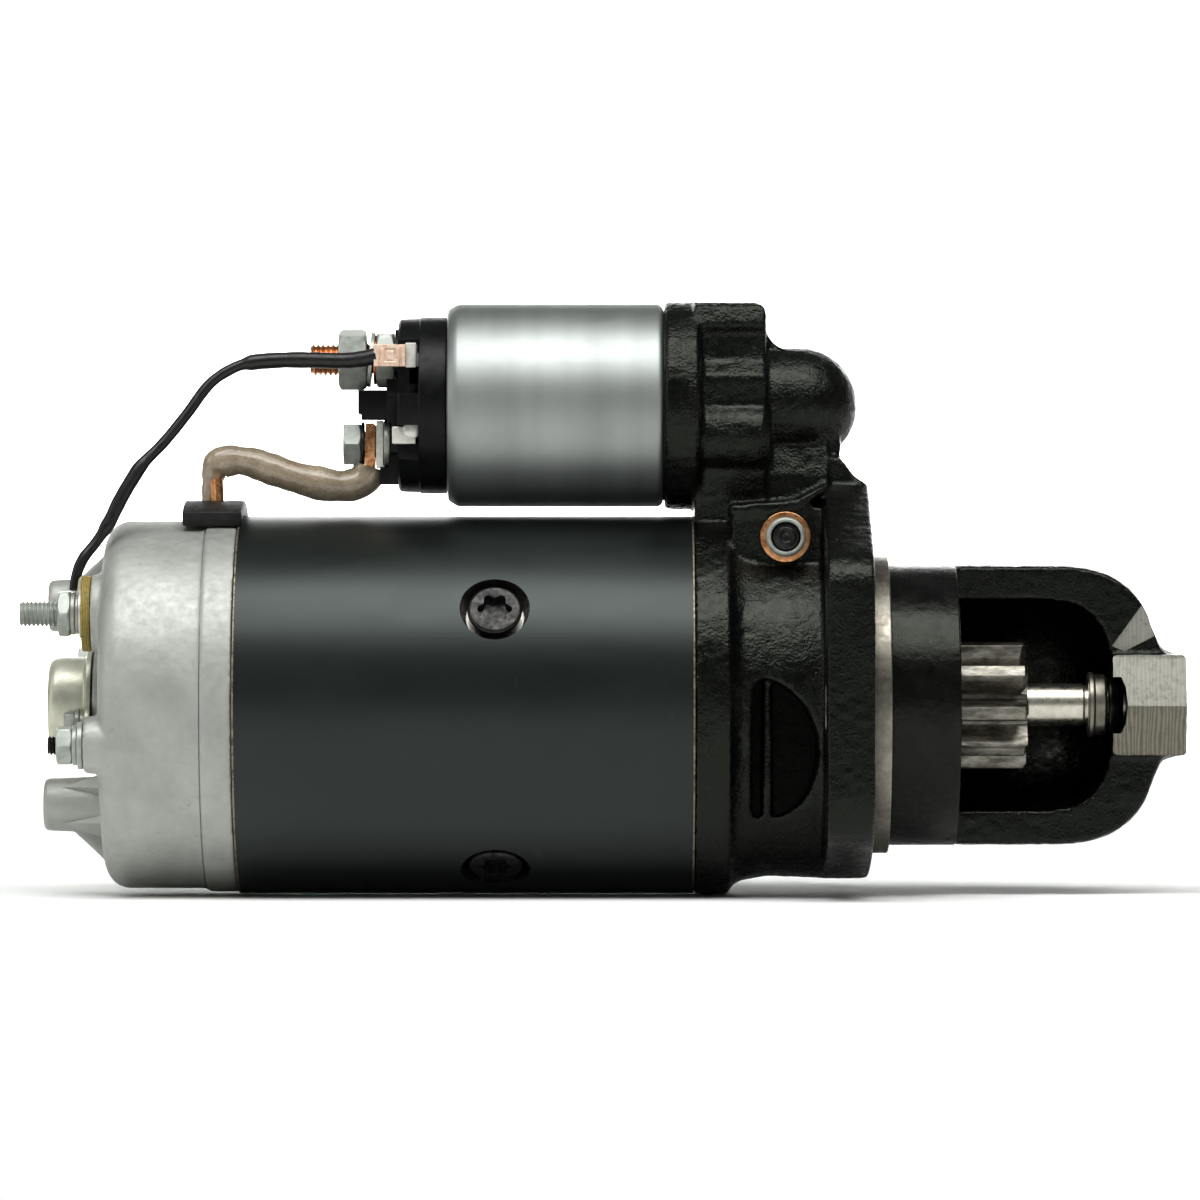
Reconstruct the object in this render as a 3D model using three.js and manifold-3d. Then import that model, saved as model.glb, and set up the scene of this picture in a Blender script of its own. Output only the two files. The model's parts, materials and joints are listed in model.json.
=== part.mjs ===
// Direct-drive starter motor with a sliding pinion and a piggy-back solenoid.
// Millimetres. +X runs along the shaft towards the pinion, +Z points up to the solenoid.
// The origin is the centre of the mounting flange's engine-side face, on the shaft axis.
import * as THREE from 'three';
import { mergeVertices } from 'three/addons/utils/BufferGeometryUtils.js';
import Module from 'manifold-3d';

const wasm = await Module();
wasm.setup();

// ---------- driving dimensions ----------
const DEG = Math.PI / 180;
const GAP = 0.3; // clearance between neighbouring solids

const FRAME_LEFT = -187.8; // field frame, a steel tube
const FRAME_RIGHT = -52.3;
const FRAME_RADIUS = 56.5;
const FRAME_BORE = 50.5;
const POLE_X = -111; // pole screws
const POLE_ANGLES = [31, 121, 211, 301]; // from -Y towards +Z
const POLE_LENGTH = 90;
const POLE_FACE = 38.6;
const CORE_RADIUS = 37.8;

const COVER_FLOOR = -227.7; // commutator end cover's outer face
const COVER_RADIUS = 55;
const COVER_RIM = 56;
const COVER_BORE = 50;
const BOLT_ANGLES = [-14, 166]; // the two through-bolts
const BOLT_CIRCLE = 47;
const BOLT_RADIUS = 3;
const STUD_Y = -28; // ground stud on the cover
const STUD_Z = 27.3;
const SUPPORT_BOSSES = [[-9, -29.7], [9, 29.6]];
const CAP_SCREWS = [[-14.6, -4.4], [14.6, 4.4]];

const FLANGE_THICKNESS = 14;
const FLANGE_TOP = 66;
const EAR_Y = 70;
const EAR_TOP = 42;
const EAR_BOTTOM = -40;
const EAR_HOLE_Y = 57;
const EAR_HOLE_RADIUS = 6.5;
const HOUSING_LEFT = -52;
const NECK_RADIUS = 52;
const PILOT_RADIUS = 44.5;
const PILOT_LENGTH = 6;
const NOSE_RADIUS = 42.1;
const NOSE_BORE = 28;
const WINDOW_START = 26;
const WINDOW_RADIUS = 32.3;
const WINDOW_PLANE = -8; // the nose is open on the -Y side of this plane
const NOSE_FLOOR = 72.8;
const NOSE_END = 95.1;
const BOSS_RIDGE = -18; // the milled ridge of the nose boss

const SOLENOID_Z = 89.7;
const CAN_LEFT = -125.6;
const CAN_RIGHT = -61.2;
const CAN_RADIUS = 30;
const CAP_LEFT = -140.3;
const CAP_RADIUS = 26.4;
const STUD_HEIGHT = 13.7; // battery stud above the solenoid axis
const MOTOR_BOLT_HEIGHT = -11.7;
const TERMINAL_Y = -16; // near-side spade tab

const SHAFT_RADIUS = 6.3;
const SHAFT_CLEARANCE = 0.35;
const SPLINE_RADIUS = 8;
const PINION_FRONT = 47.5;
const PINION_TEETH = 9;
const PINION_MODULE = 3.5;
const PINION_TIP = 19.2;
const TOOTH_ANGLE = 72.5;

const PIVOT_X = -25.2;
const PIVOT_Z = 50;
const PIVOT_FACE = 30; // the housing's two faces that the pivot bolt clamps
const LEVER_SWING = 10.6 * DEG; // each side of upright
const UPPER_ARM = SOLENOID_Z - PIVOT_Z;
const FORK_REST_X = PIVOT_X - PIVOT_Z * Math.sin(LEVER_SWING);
const PLUNGER_GROOVE_X = PIVOT_X + UPPER_ARM * Math.sin(LEVER_SWING);

// ---------- material specifications: colour, roughness, metalness ----------
const MATERIALS = {
  blackPaint: [0x17191a, 0.45, 0.2],
  castPaint: [0x111213, 0.35, 0.2],
  castAluminium: [0xb4b3ae, 0.5, 0.7],
  zinc: [0xc4c6c6, 0.25, 1],
  steel: [0x8b8781, 0.4, 1],
  darkSteel: [0x2a2a2b, 0.5, 0.8],
  copper: [0xb86a3c, 0.35, 1],
  blackPlastic: [0x0e0f11, 0.4, 0],
  rubber: [0x0b0b0b, 0.8, 0],
  phenolic: [0x8c7b3a, 0.6, 0],
  sleeve: [0x786a5a, 0.3, 0],
  carbon: [0x2b2928, 0.7, 0.1],
  tape: [0x6b4b2c, 0.7, 0],
};

// ---------- geometry helpers ----------
function signedVolume(position, index) {
  const [a, b, c] = [new THREE.Vector3(), new THREE.Vector3(), new THREE.Vector3()];
  let sum = 0;
  for (let i = 0; i < index.length; i += 3) {
    a.fromBufferAttribute(position, index[i]);
    b.fromBufferAttribute(position, index[i + 1]);
    c.fromBufferAttribute(position, index[i + 2]);
    sum += a.dot(b.cross(c)) / 6;
  }
  return sum;
}

// A closed three.js geometry as a solid that can be joined and cut.
function solid(geometry) {
  const bare = geometry.index ? geometry.toNonIndexed() : geometry.clone();
  for (const name of Object.keys(bare.attributes)) {
    if (name !== 'position') bare.deleteAttribute(name);
  }
  const merged = mergeVertices(bare, 1e-4);
  const all = merged.index.array;
  const kept = [];
  for (let i = 0; i < all.length; i += 3) {
    const [a, b, c] = [all[i], all[i + 1], all[i + 2]];
    if (a !== b && b !== c && c !== a) kept.push(a, b, c);
  }
  if (signedVolume(merged.attributes.position, kept) < 0) kept.reverse();
  const mesh = new wasm.Mesh({
    numProp: 3,
    vertProperties: Float32Array.from(merged.attributes.position.array),
    triVerts: Uint32Array.from(kept),
  });
  return new wasm.Manifold(mesh);
}

// A profile of [x, radius] turned about a line parallel to X.
function turned(profile, { y = 0, z = 0, sides = 32, turn = 0 } = {}) {
  const points = profile.map(([x, radius]) => new THREE.Vector2(radius, x));
  if (THREE.ShapeUtils.area(points) < 0) points.reverse();
  const touchesAxis = points.some((p) => p.x === 0);
  if (!touchesAxis) points.push(points[0].clone());
  const geometry = new THREE.LatheGeometry(points, sides);
  geometry.rotateZ(-Math.PI / 2).rotateX(turn).translate(0, y, z);
  return solid(geometry);
}

function rod(x0, x1, radius, options) {
  return turned([[x0, 0], [x0, radius], [x1, radius], [x1, 0]], options);
}

function ring(x0, x1, inner, outer, options) {
  return turned([[x0, inner], [x0, outer], [x1, outer], [x1, inner]], options);
}

// A round bar parallel to Y, from y0 to y1.
function crossRod(x, z, y0, y1, radius, sides = 16) {
  const geometry = new THREE.CylinderGeometry(radius, radius, y1 - y0, sides);
  return solid(geometry.translate(x, (y0 + y1) / 2, z));
}

function box([x0, y0, z0], [x1, y1, z1]) {
  const geometry = new THREE.BoxGeometry(x1 - x0, y1 - y0, z1 - z0);
  return solid(geometry.translate((x0 + x1) / 2, (y0 + y1) / 2, (z0 + z1) / 2));
}

function extruded(points, depth) {
  const outline = points.map(([a, b]) => new THREE.Vector2(a, b));
  return new THREE.ExtrudeGeometry(new THREE.Shape(outline), { depth, bevelEnabled: false, steps: 1 });
}

// An outline of [y, z] points extruded along X.
function prismX(points, x0, x1) {
  const geometry = extruded(points, x1 - x0);
  const yzx = new THREE.Matrix4().makeBasis(
    new THREE.Vector3(0, 1, 0), new THREE.Vector3(0, 0, 1), new THREE.Vector3(1, 0, 0));
  return solid(geometry.applyMatrix4(yzx).translate(x0, 0, 0));
}

// An outline of [x, z] points extruded along Y.
function prismY(points, y0, y1) {
  return solid(extruded(points, y1 - y0).rotateX(Math.PI / 2).translate(0, y1, 0));
}

// A round section drawn along a smooth curve through the points.
function swept(points, diameter, { steps = 40, sides = 8 } = {}) {
  const path = new THREE.CatmullRomCurve3(points.map((p) => new THREE.Vector3(...p)));
  const outline = [];
  for (let i = 0; i < sides; i++) {
    const angle = (2 * Math.PI * (i + 0.5)) / sides;
    outline.push(new THREE.Vector2(...polar(diameter / 2, angle)));
  }
  const settings = { steps, bevelEnabled: false, extrudePath: path };
  return solid(new THREE.ExtrudeGeometry(new THREE.Shape(outline), settings));
}

// A coil spring wound about a line parallel to X.
function spring(x0, x1, radius, wire, turns, z = 0) {
  class Helix extends THREE.Curve {
    getPoint(t, target = new THREE.Vector3()) {
      const angle = 2 * Math.PI * turns * t;
      const x = x0 + wire / 2 + (x1 - x0 - wire) * t;
      return target.set(x, radius * Math.cos(angle), z + radius * Math.sin(angle));
    }
  }
  const outline = [0, 1, 2, 3].map((i) => new THREE.Vector2(...polar(wire / 2, (i * Math.PI) / 2)));
  const settings = { steps: turns * 9, bevelEnabled: false, extrudePath: new Helix() };
  return solid(new THREE.ExtrudeGeometry(new THREE.Shape(outline), settings));
}

function polar(radius, angle) {
  return [radius * Math.cos(angle), radius * Math.sin(angle)];
}

// A ring sector in the YZ plane, centred on the direction at angle `middle` from +Y towards +Z.
function sector(inner, outer, half, middle = Math.PI, steps = 6) {
  const points = [];
  for (let i = 0; i <= steps; i++) points.push(polar(outer, middle - half + (2 * half * i) / steps));
  for (let i = steps; i >= 0; i--) points.push(polar(inner, middle - half + (2 * half * i) / steps));
  return points;
}

// The [y, z] place at a radius and an angle measured from -Y towards +Z.
function around(radius, degrees) {
  return [-radius * Math.cos(degrees * DEG), radius * Math.sin(degrees * DEG)];
}

function curvePoints(path, divisions = 3) {
  return path.getPoints(divisions).map((p) => [p.x, p.y]);
}

function mesh(name, shape, spec) {
  const data = shape.getMesh();
  const geometry = new THREE.BufferGeometry();
  geometry.setAttribute('position', new THREE.BufferAttribute(data.vertProperties, 3));
  geometry.setIndex(new THREE.BufferAttribute(data.triVerts, 1));
  geometry.computeVertexNormals();
  const [color, roughness, metalness] = MATERIALS[spec];
  const part = new THREE.Mesh(geometry, new THREE.MeshStandardMaterial({ color, roughness, metalness }));
  part.name = name;
  return part;
}

// A hexagon nut, bored for its stud. Each is turned a little, as it was left by the spanner.
function nut(x0, x1, corners, bore, place = {}) {
  const hexagon = rod(x0, x1, corners, { turn: 0.15, ...place, sides: 6 });
  return bore ? hexagon.subtract(rod(x0 - 1, x1 + 1, bore, { ...place, turn: 0, sides: 12 })) : hexagon;
}

// ---------- field frame, poles and coils ----------
const HEAD_RADIUS = 8;
const SINK_RADIUS = 10.3;
const SCREW_SHANK = 4;

// Everything on a pole is drawn pointing to -Y and turned into place about X.
function poleScrewHole() {
  const sink = new THREE.CylinderGeometry(5, SINK_RADIUS + 0.8, 6.2, 16);
  sink.translate(POLE_X, -(FRAME_RADIUS - 2.1), 0);
  return solid(sink).add(crossRod(POLE_X, 0, -60, -44, SCREW_SHANK + GAP));
}

function fieldFrame() {
  let tube = ring(FRAME_LEFT, FRAME_RIGHT, FRAME_BORE, FRAME_RADIUS, { sides: 48 });
  for (const angle of POLE_ANGLES) tube = tube.subtract(poleScrewHole().rotate(-angle, 0, 0));
  return mesh('field_frame', tube, 'blackPaint');
}

function poleShoe() {
  const left = POLE_X - POLE_LENGTH / 2;
  const right = POLE_X + POLE_LENGTH / 2;
  const body = prismX(sector(POLE_FACE, FRAME_BORE - 0.4, 21 * DEG), left, right);
  const tips = prismX(sector(POLE_FACE, POLE_FACE + 2.6, 33 * DEG), left, right);
  return body.add(tips).subtract(crossRod(POLE_X, 0, -60, -40.5, SCREW_SHANK + GAP));
}

function fieldCoil() {
  const outer = POLE_LENGTH / 2 + 7;
  const inner = POLE_LENGTH / 2 + 0.8;
  const winding = prismX(sector(POLE_FACE + 3, FRAME_BORE - 0.6, 32.5 * DEG), POLE_X - outer, POLE_X + outer);
  const opening = prismX(sector(POLE_FACE, FRAME_BORE + 1, 21.7 * DEG), POLE_X - inner, POLE_X + inner);
  return winding.subtract(opening);
}

function poleScrew() {
  const face = -(FRAME_RADIUS - 0.6);
  const head = new THREE.CylinderGeometry(4.6, HEAD_RADIUS, 4, 16).translate(POLE_X, face + 2, 0);
  const socket = new THREE.CylinderGeometry(2.8, 2.8, 2.4, 6).translate(POLE_X, face + 1, 0);
  const shank = crossRod(POLE_X, 0, face + 3, -41, SCREW_SHANK, 12);
  return solid(head).add(shank).subtract(solid(socket));
}

function poles() {
  const group = new THREE.Group();
  POLE_ANGLES.forEach((angle, i) => {
    const pole = new THREE.Group();
    pole.rotation.x = -angle * DEG;
    pole.add(mesh(`pole_shoe_${i + 1}`, poleShoe(), 'steel'));
    pole.add(mesh(`field_coil_${i + 1}`, fieldCoil(), 'tape'));
    pole.add(mesh(`pole_screw_${i + 1}`, poleScrew(), 'darkSteel'));
    group.add(pole);
  });
  return group;
}

// ---------- commutator end ----------
const CAP_LIP = -233.3; // bearing cap's flange, outer face
const HUB_END = -231.6;
const BOSS_END = -231.9; // through-bolt bosses
const REAR_BORE = 6.3;

function supportBoss([y, z]) {
  const outward = z > 0 ? 1 : -1;
  const boss = turned([
    [-223, 0], [-223, 8.6], [COVER_FLOOR, 8.4], [-244.6, 7.7], [-246, 6.6], [-246, 0],
  ], { y, z, sides: 12 });
  const tapped = rod(-247, -236, 3.2, { y, z, sides: 12 });
  const web = [[-240, z + outward * 6.5], [-224, z + outward * 20], [-224, z]];
  return boss.add(prismY(web, y - 2, y + 2)).subtract(tapped);
}

function endCover() {
  let shell = turned([
    [-188.1, COVER_BORE], [-188.1, COVER_RIM], [-196.7, COVER_RIM], [-197.3, COVER_RADIUS],
    [-221, COVER_RADIUS], [-225.6, COVER_RADIUS - 2], [COVER_FLOOR, COVER_RADIUS - 7],
    [COVER_FLOOR, 17.5], [HUB_END, 17], [HUB_END, REAR_BORE], [-217, REAR_BORE],
    [-217, 12], [-222.7, 14], [-222.7, COVER_BORE - 3], [-219.7, COVER_BORE],
  ]);
  for (const angle of BOLT_ANGLES) {
    const [y, z] = around(BOLT_CIRCLE, angle);
    shell = shell.add(rod(BOSS_END, -188.6, 8.6, { y, z, sides: 12 }));
    // the boss stays inside the cover's round wall
    shell = shell.subtract(ring(-220, -180, COVER_RIM, 66));
    shell = shell.subtract(rod(-240, -180, BOLT_RADIUS + GAP, { y, z, sides: 12 }));
  }
  shell = shell.add(rod(-230.6, -224, 11.5, { y: STUD_Y, z: STUD_Z, sides: 18 }));
  shell = shell.subtract(rod(-240, -221, 4.3, { y: STUD_Y, z: STUD_Z, sides: 12 }));
  for (const place of SUPPORT_BOSSES) shell = shell.add(supportBoss(place));
  for (const [y, z] of CAP_SCREWS) shell = shell.subtract(rod(-240, -226, 2, { y, z, sides: 12 }));
  return mesh('commutator_end_cover', shell.subtract(box([-201, -8, 44], [-180, 8, 62])), 'castAluminium');
}

function bearingCap() {
  const foot = HUB_END - GAP;
  let cap = turned([
    [-245.7, 0], [-245.7, 12], [-245, 13.6], [-243.6, 14.25],
    [CAP_LIP, 14.25], [CAP_LIP, 17], [foot, 17], [foot, 0],
  ], { sides: 18 });
  for (const [y, z] of CAP_SCREWS) {
    cap = cap.add(rod(CAP_LIP, foot, 4.6, { y: y * 1.1, z: z * 1.1, sides: 12 }));
    cap = cap.subtract(rod(-240, -230, 2, { y, z, sides: 12 }));
  }
  return mesh('bearing_cap', cap.subtract(rod(-244.4, HUB_END, 12.9, { sides: 18 })), 'castAluminium');
}

function capScrew([y, z], i) {
  const place = { y, z };
  const washer = rod(-235.2, CAP_LIP - GAP, 3.4, { ...place, sides: 12 });
  const shank = rod(-236, -227, 1.7, { ...place, sides: 12 });
  const shape = nut(-238.6, -235, 3.4, 0, place).add(washer).add(shank);
  // the head clears the domed cap beside it
  return mesh(`cap_screw_${i + 1}`, shape.subtract(rod(-246, -233, 14.6, { sides: 18 })), 'zinc');
}

function throughBolt(angle, i) {
  const [y, z] = around(BOLT_CIRCLE, angle);
  const shape = rod(-242.3, -37.3, BOLT_RADIUS - 0.2, { y, z, sides: 12 });
  return mesh(`through_bolt_${i + 1}`, shape, 'darkSteel');
}

function throughBoltNut(angle, i) {
  const [y, z] = around(BOLT_CIRCLE, angle);
  const washer = ring(-235.3, BOSS_END - GAP, BOLT_RADIUS + 0.1, 7, { y, z, sides: 12 });
  const shape = nut(-239.7, -235.1, 5.8, BOLT_RADIUS + 0.1, { y, z }).add(washer);
  return mesh(`through_bolt_nut_${i + 1}`, shape, 'zinc');
}

function groundTerminal() {
  const place = { y: STUD_Y, z: STUD_Z };
  const group = new THREE.Group();
  const stud = rod(-251.9, -219, 3.9, { ...place, sides: 14 }).add(nut(-222.4, -218, 7.5, 0, place));
  group.add(mesh('ground_stud', stud, 'zinc'));
  const washer = ring(-233.3, -230.9, 4.3, 11.2, { ...place, sides: 20 });
  group.add(mesh('insulating_washer', washer, 'phenolic'));
  const eyelet = ring(-235.2, -233.6, 4.3, 7.4, { ...place, sides: 12 });
  const barrel = box([-236.6, STUD_Y - 2.2, STUD_Z + 6.6], [-234, STUD_Y + 2.2, STUD_Z + 10.2]);
  group.add(mesh('ring_terminal', eyelet.add(barrel), 'copper'));
  group.add(mesh('ground_nut', nut(-240.3, -235.6 - GAP, 7.5, 4.2, { ...place, turn: 0.5 }), 'zinc'));
  return group;
}

// ---------- brush gear ----------
const BRUSH_X = [-210, -194];
const BRUSH_WIDTH = 9;
const BRUSH_INNER = 22.6;

function brushPlate() {
  let plate = ring(-191.4, -188.6, 27, 49.2);
  for (const angle of POLE_ANGLES) {
    const wall = BRUSH_WIDTH / 2 + 2;
    const tunnel = BRUSH_WIDTH / 2 + GAP;
    const holder = box([BRUSH_X[0] - 2, -39, -wall], [-190, -26, wall])
      .subtract(box([BRUSH_X[0] - GAP, -60, -tunnel], [BRUSH_X[1] + GAP, 0, tunnel]));
    plate = plate.add(holder.rotate(-angle, 0, 0));
  }
  for (const angle of BOLT_ANGLES) {
    const [y, z] = around(BOLT_CIRCLE, angle);
    plate = plate.subtract(rod(-192, -188, 9.2, { y, z, sides: 12 }));
  }
  return mesh('brush_plate', plate, 'zinc');
}

function brushes() {
  const group = new THREE.Group();
  POLE_ANGLES.forEach((angle, i) => {
    const block = box([BRUSH_X[0], -38, -BRUSH_WIDTH / 2], [BRUSH_X[1], -BRUSH_INNER, BRUSH_WIDTH / 2]);
    const brush = mesh(`brush_${i + 1}`, block, 'carbon');
    brush.rotation.x = -angle * DEG;
    group.add(brush);
  });
  return group;
}

// ---------- armature ----------
const CORE_LEFT = -155;
const CORE_RIGHT = -67;
const CORE_BORE = 9.4;

function armature() {
  const group = new THREE.Group();
  const shaft = turned([
    [-230.6, 0], [-230.6, 6], [-216, 6], [-216, 9], [-46, 9], [-46, SPLINE_RADIUS],
    [-8.4, SPLINE_RADIUS], [-8.4, SHAFT_RADIUS], [90.6, SHAFT_RADIUS], [90.6, 0],
  ], { sides: 18 });
  group.add(mesh('armature_shaft', shaft, 'steel'));
  group.add(mesh('armature_core', armatureCore(), 'darkSteel'));
  group.add(mesh('commutator', ring(-213.5, -171, CORE_BORE, 22, { sides: 18 }), 'copper'));
  const collar = turned([
    [66.2, SHAFT_RADIUS + GAP], [66.2, 9.7], [67.6, 9.7], [68, 9.1], [71, 9.1], [71.7, 8.2],
    [71.7, SHAFT_RADIUS + GAP],
  ], { sides: 20 });
  group.add(mesh('stop_collar', collar, 'darkSteel'));
  return group;
}

// A slotted lamination stack with the winding's overhang at both ends.
function armatureCore() {
  const slots = 16;
  const outline = [];
  for (let i = 0; i < slots; i++) {
    const middle = (2 * Math.PI * i) / slots;
    outline.push(polar(CORE_RADIUS, middle - 0.15), polar(CORE_RADIUS, middle + 0.15));
    outline.push(polar(CORE_RADIUS - 2, middle + 0.16), polar(CORE_RADIUS - 2, middle + 0.232));
  }
  const stack = prismX(outline, CORE_LEFT, CORE_RIGHT);
  const overhang = turned([
    [-170.6, CORE_BORE], [-170.6, 24], [-166, 33], [CORE_LEFT, 34.5], [CORE_RIGHT, 34.5],
    [-60, 33], [-56, 26], [-56, CORE_BORE],
  ], { sides: 18 });
  return stack.add(overhang).subtract(rod(-180, -50, CORE_BORE, { sides: 18 }));
}

// ---------- sliding drive ----------
const SLEEVE_RADIUS = 12.4;
const GROOVE_HALF = 3.2;
const CLUTCH_LEFT = -17.5;
const CLUTCH_RIGHT = 7;
const CLUTCH_RADIUS = 27;

function guideRing() {
  const inner = SLEEVE_RADIUS + GAP;
  const [left, right] = [FORK_REST_X - GROOVE_HALF, FORK_REST_X + GROOVE_HALF];
  const shape = turned([
    [left - 2.2, inner], [left - 2.2, 18.6], [left, 18.6], [left, 14.4],
    [right, 14.4], [right, 18.6], [right + 2.2, 18.6], [right + 2.2, inner],
  ], { sides: 18 });
  return mesh('guide_ring', shape, 'steel');
}

function clutchShell() {
  const bore = SPLINE_RADIUS + GAP;
  const shape = turned([
    [-41, bore], [-41, SLEEVE_RADIUS], [CLUTCH_LEFT, SLEEVE_RADIUS], [CLUTCH_LEFT, CLUTCH_RADIUS - 1],
    [CLUTCH_LEFT + 1, CLUTCH_RADIUS], [CLUTCH_RIGHT - 1, CLUTCH_RADIUS],
    [CLUTCH_RIGHT, CLUTCH_RADIUS - 1], [CLUTCH_RIGHT, 14.3], [-8, 14.3], [-8, bore],
  ], { sides: 28 });
  return mesh('clutch_shell', shape, 'steel');
}

function pinion() {
  const pitchAngle = (2 * Math.PI) / PINION_TEETH;
  const root = PINION_TIP - 2.25 * PINION_MODULE;
  const pitch = (PINION_TEETH * PINION_MODULE) / 2;
  const flank = [[root, 0.29], [pitch, 0.2], [PINION_TIP, 0.085]];
  const outline = [];
  for (let i = 0; i < PINION_TEETH; i++) {
    // the angle runs from +Y, so a tooth at `a` from -Y lies at 180 degrees minus a
    const middle = Math.PI - TOOTH_ANGLE * DEG + i * pitchAngle;
    for (const [radius, half] of flank) outline.push(polar(radius, middle - half));
    for (const [radius, half] of [...flank].reverse()) outline.push(polar(radius, middle + half));
  }
  const hub = turned([
    [-7.6, 0], [-7.6, 14], [9, 14], [9, 15.2], [20, 15.2], [20, 17.5], [22, 17.5], [22, 0],
  ], { sides: 18 });
  const gear = prismX(outline, 21.5, PINION_FRONT).intersect(turned([
    [20, 0], [20, 17.5], [22, 20], [PINION_FRONT - 2.4, 20], [PINION_FRONT, 16.6], [PINION_FRONT, 0],
  ], { sides: 18 }));
  const shape = gear.add(hub).subtract(rod(-20, 60, SHAFT_RADIUS + SHAFT_CLEARANCE, { sides: 18 }));
  return mesh('pinion', shape, 'steel');
}

function drive() {
  const group = new THREE.Group();
  group.add(guideRing());
  const left = FORK_REST_X + GROOVE_HALF + 2.2 + GAP;
  group.add(mesh('meshing_spring', spring(left, CLUTCH_LEFT - GAP, 15.4, 2.2, 3), 'darkSteel'));
  group.add(clutchShell());
  group.add(pinion());
  return group;
}

// ---------- shift lever, drawn upright about its pivot ----------
function shiftLever() {
  const legInner = 19.4;
  const legOuter = 23.2;
  const pads = [-1, 1].map((side) => {
    const [y0, y1] = side < 0 ? [-legOuter, -14.9] : [14.9, legOuter];
    return crossRod(0, -PIVOT_Z, y0, y1, 2.8, 16);
  });
  const leg = [[-2.9, -PIVOT_Z], [-4, -16], [4, -16], [2.9, -PIVOT_Z], [0, -PIVOT_Z - 3]];
  const arm = [[-3.6, 0], [-2.1, UPPER_ARM - 7], [-3.4, UPPER_ARM - 1], [-2.2, UPPER_ARM + 2.6],
    [2.2, UPPER_ARM + 2.6], [3.4, UPPER_ARM - 1], [2.1, UPPER_ARM - 7], [3.6, 0]];
  let shape = crossRod(0, 0, -10.4, 10.4, 6.4);
  shape = shape.add(box([-3.6, -10.4, -17], [3.6, 10.4, 0]));
  shape = shape.add(box([-4, -legOuter, -17], [4, legOuter, -8]));
  shape = shape.add(prismY(leg, -legOuter, -legInner)).add(prismY(leg, legInner, legOuter));
  shape = shape.add(prismY(arm, -8.6, 8.6)).add(pads[0]).add(pads[1]);
  shape = shape.subtract(box([-8, -4.6, UPPER_ARM - 11], [8, 4.6, UPPER_ARM + 8]));
  shape = shape.subtract(crossRod(0, 0, -12, 12, 4.2));
  const lever = mesh('shift_lever', shape, 'darkSteel');
  lever.position.set(PIVOT_X, 0, PIVOT_Z);
  lever.rotation.y = LEVER_SWING;
  return lever;
}

function leverPivot() {
  const group = new THREE.Group();
  const shank = crossRod(0, 0, -PIVOT_FACE - 5.6, PIVOT_FACE + 1, 3.9, 20);
  const head = crossRod(0, 0, PIVOT_FACE + GAP, PIVOT_FACE + 5, 7, 6);
  group.add(mesh('pivot_bolt', shank.add(head), 'darkSteel'));
  const washer = crossRod(0, 0, -PIVOT_FACE - 1.8, -PIVOT_FACE - GAP, 7.5);
  group.add(mesh('pivot_washer', washer.subtract(crossRod(0, 0, -40, 0, 4.2, 20)), 'copper'));
  const collar = crossRod(0, 0, -PIVOT_FACE - 6, -PIVOT_FACE - 2.1, 5.8);
  group.add(mesh('pivot_nut', collar.subtract(crossRod(0, 0, -40, 0, 4.2, 20)), 'zinc'));
  group.position.set(PIVOT_X, 0, PIVOT_Z);
  return group;
}

// ---------- drive housing ----------
function noseProfile() {
  const path = new THREE.Path();
  path.moveTo(0, PILOT_RADIUS).lineTo(PILOT_LENGTH, PILOT_RADIUS).lineTo(PILOT_LENGTH, NOSE_RADIUS);
  path.lineTo(58, NOSE_RADIUS - 0.2).quadraticCurveTo(80, 41.5, 85.1, 23.8).lineTo(87.6, 18.2);
  path.quadraticCurveTo(88.5, 16, 93.6, 15.5).lineTo(NOSE_END, 13);
  return curvePoints(path);
}

function noseCavity() {
  const path = new THREE.Path();
  path.moveTo(WINDOW_START, WINDOW_RADIUS).lineTo(54, WINDOW_RADIUS);
  path.quadraticCurveTo(71, WINDOW_RADIUS, NOSE_FLOOR, 14);
  return turned([[WINDOW_START, 0], ...curvePoints(path), [NOSE_FLOOR, 0]]);
}

function flangePlate() {
  const corner = 6;
  const low = EAR_BOTTOM - 2;
  const shape = new THREE.Shape();
  shape.moveTo(-10, FLANGE_TOP).lineTo(-EAR_Y + corner, EAR_TOP + 2);
  shape.quadraticCurveTo(-EAR_Y, EAR_TOP, -EAR_Y, EAR_TOP - corner);
  shape.lineTo(-EAR_Y, EAR_BOTTOM + 14).quadraticCurveTo(-EAR_Y, EAR_BOTTOM, -52, low);
  shape.quadraticCurveTo(-25, -NECK_RADIUS, 0, -NECK_RADIUS);
  shape.quadraticCurveTo(25, -NECK_RADIUS, 52, low);
  shape.quadraticCurveTo(EAR_Y, EAR_BOTTOM, EAR_Y, EAR_BOTTOM + 14).lineTo(EAR_Y, EAR_TOP - corner);
  shape.quadraticCurveTo(EAR_Y, EAR_TOP, EAR_Y - corner, EAR_TOP + 2).lineTo(10, FLANGE_TOP);
  let plate = prismX(curvePoints(shape, 3).slice(0, -1), -FLANGE_THICKNESS, 0);
  for (const y of [-EAR_HOLE_Y, EAR_HOLE_Y]) {
    plate = plate.subtract(rod(-20, 5, EAR_HOLE_RADIUS, { y, sides: 12 }));
  }
  return plate;
}

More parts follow.
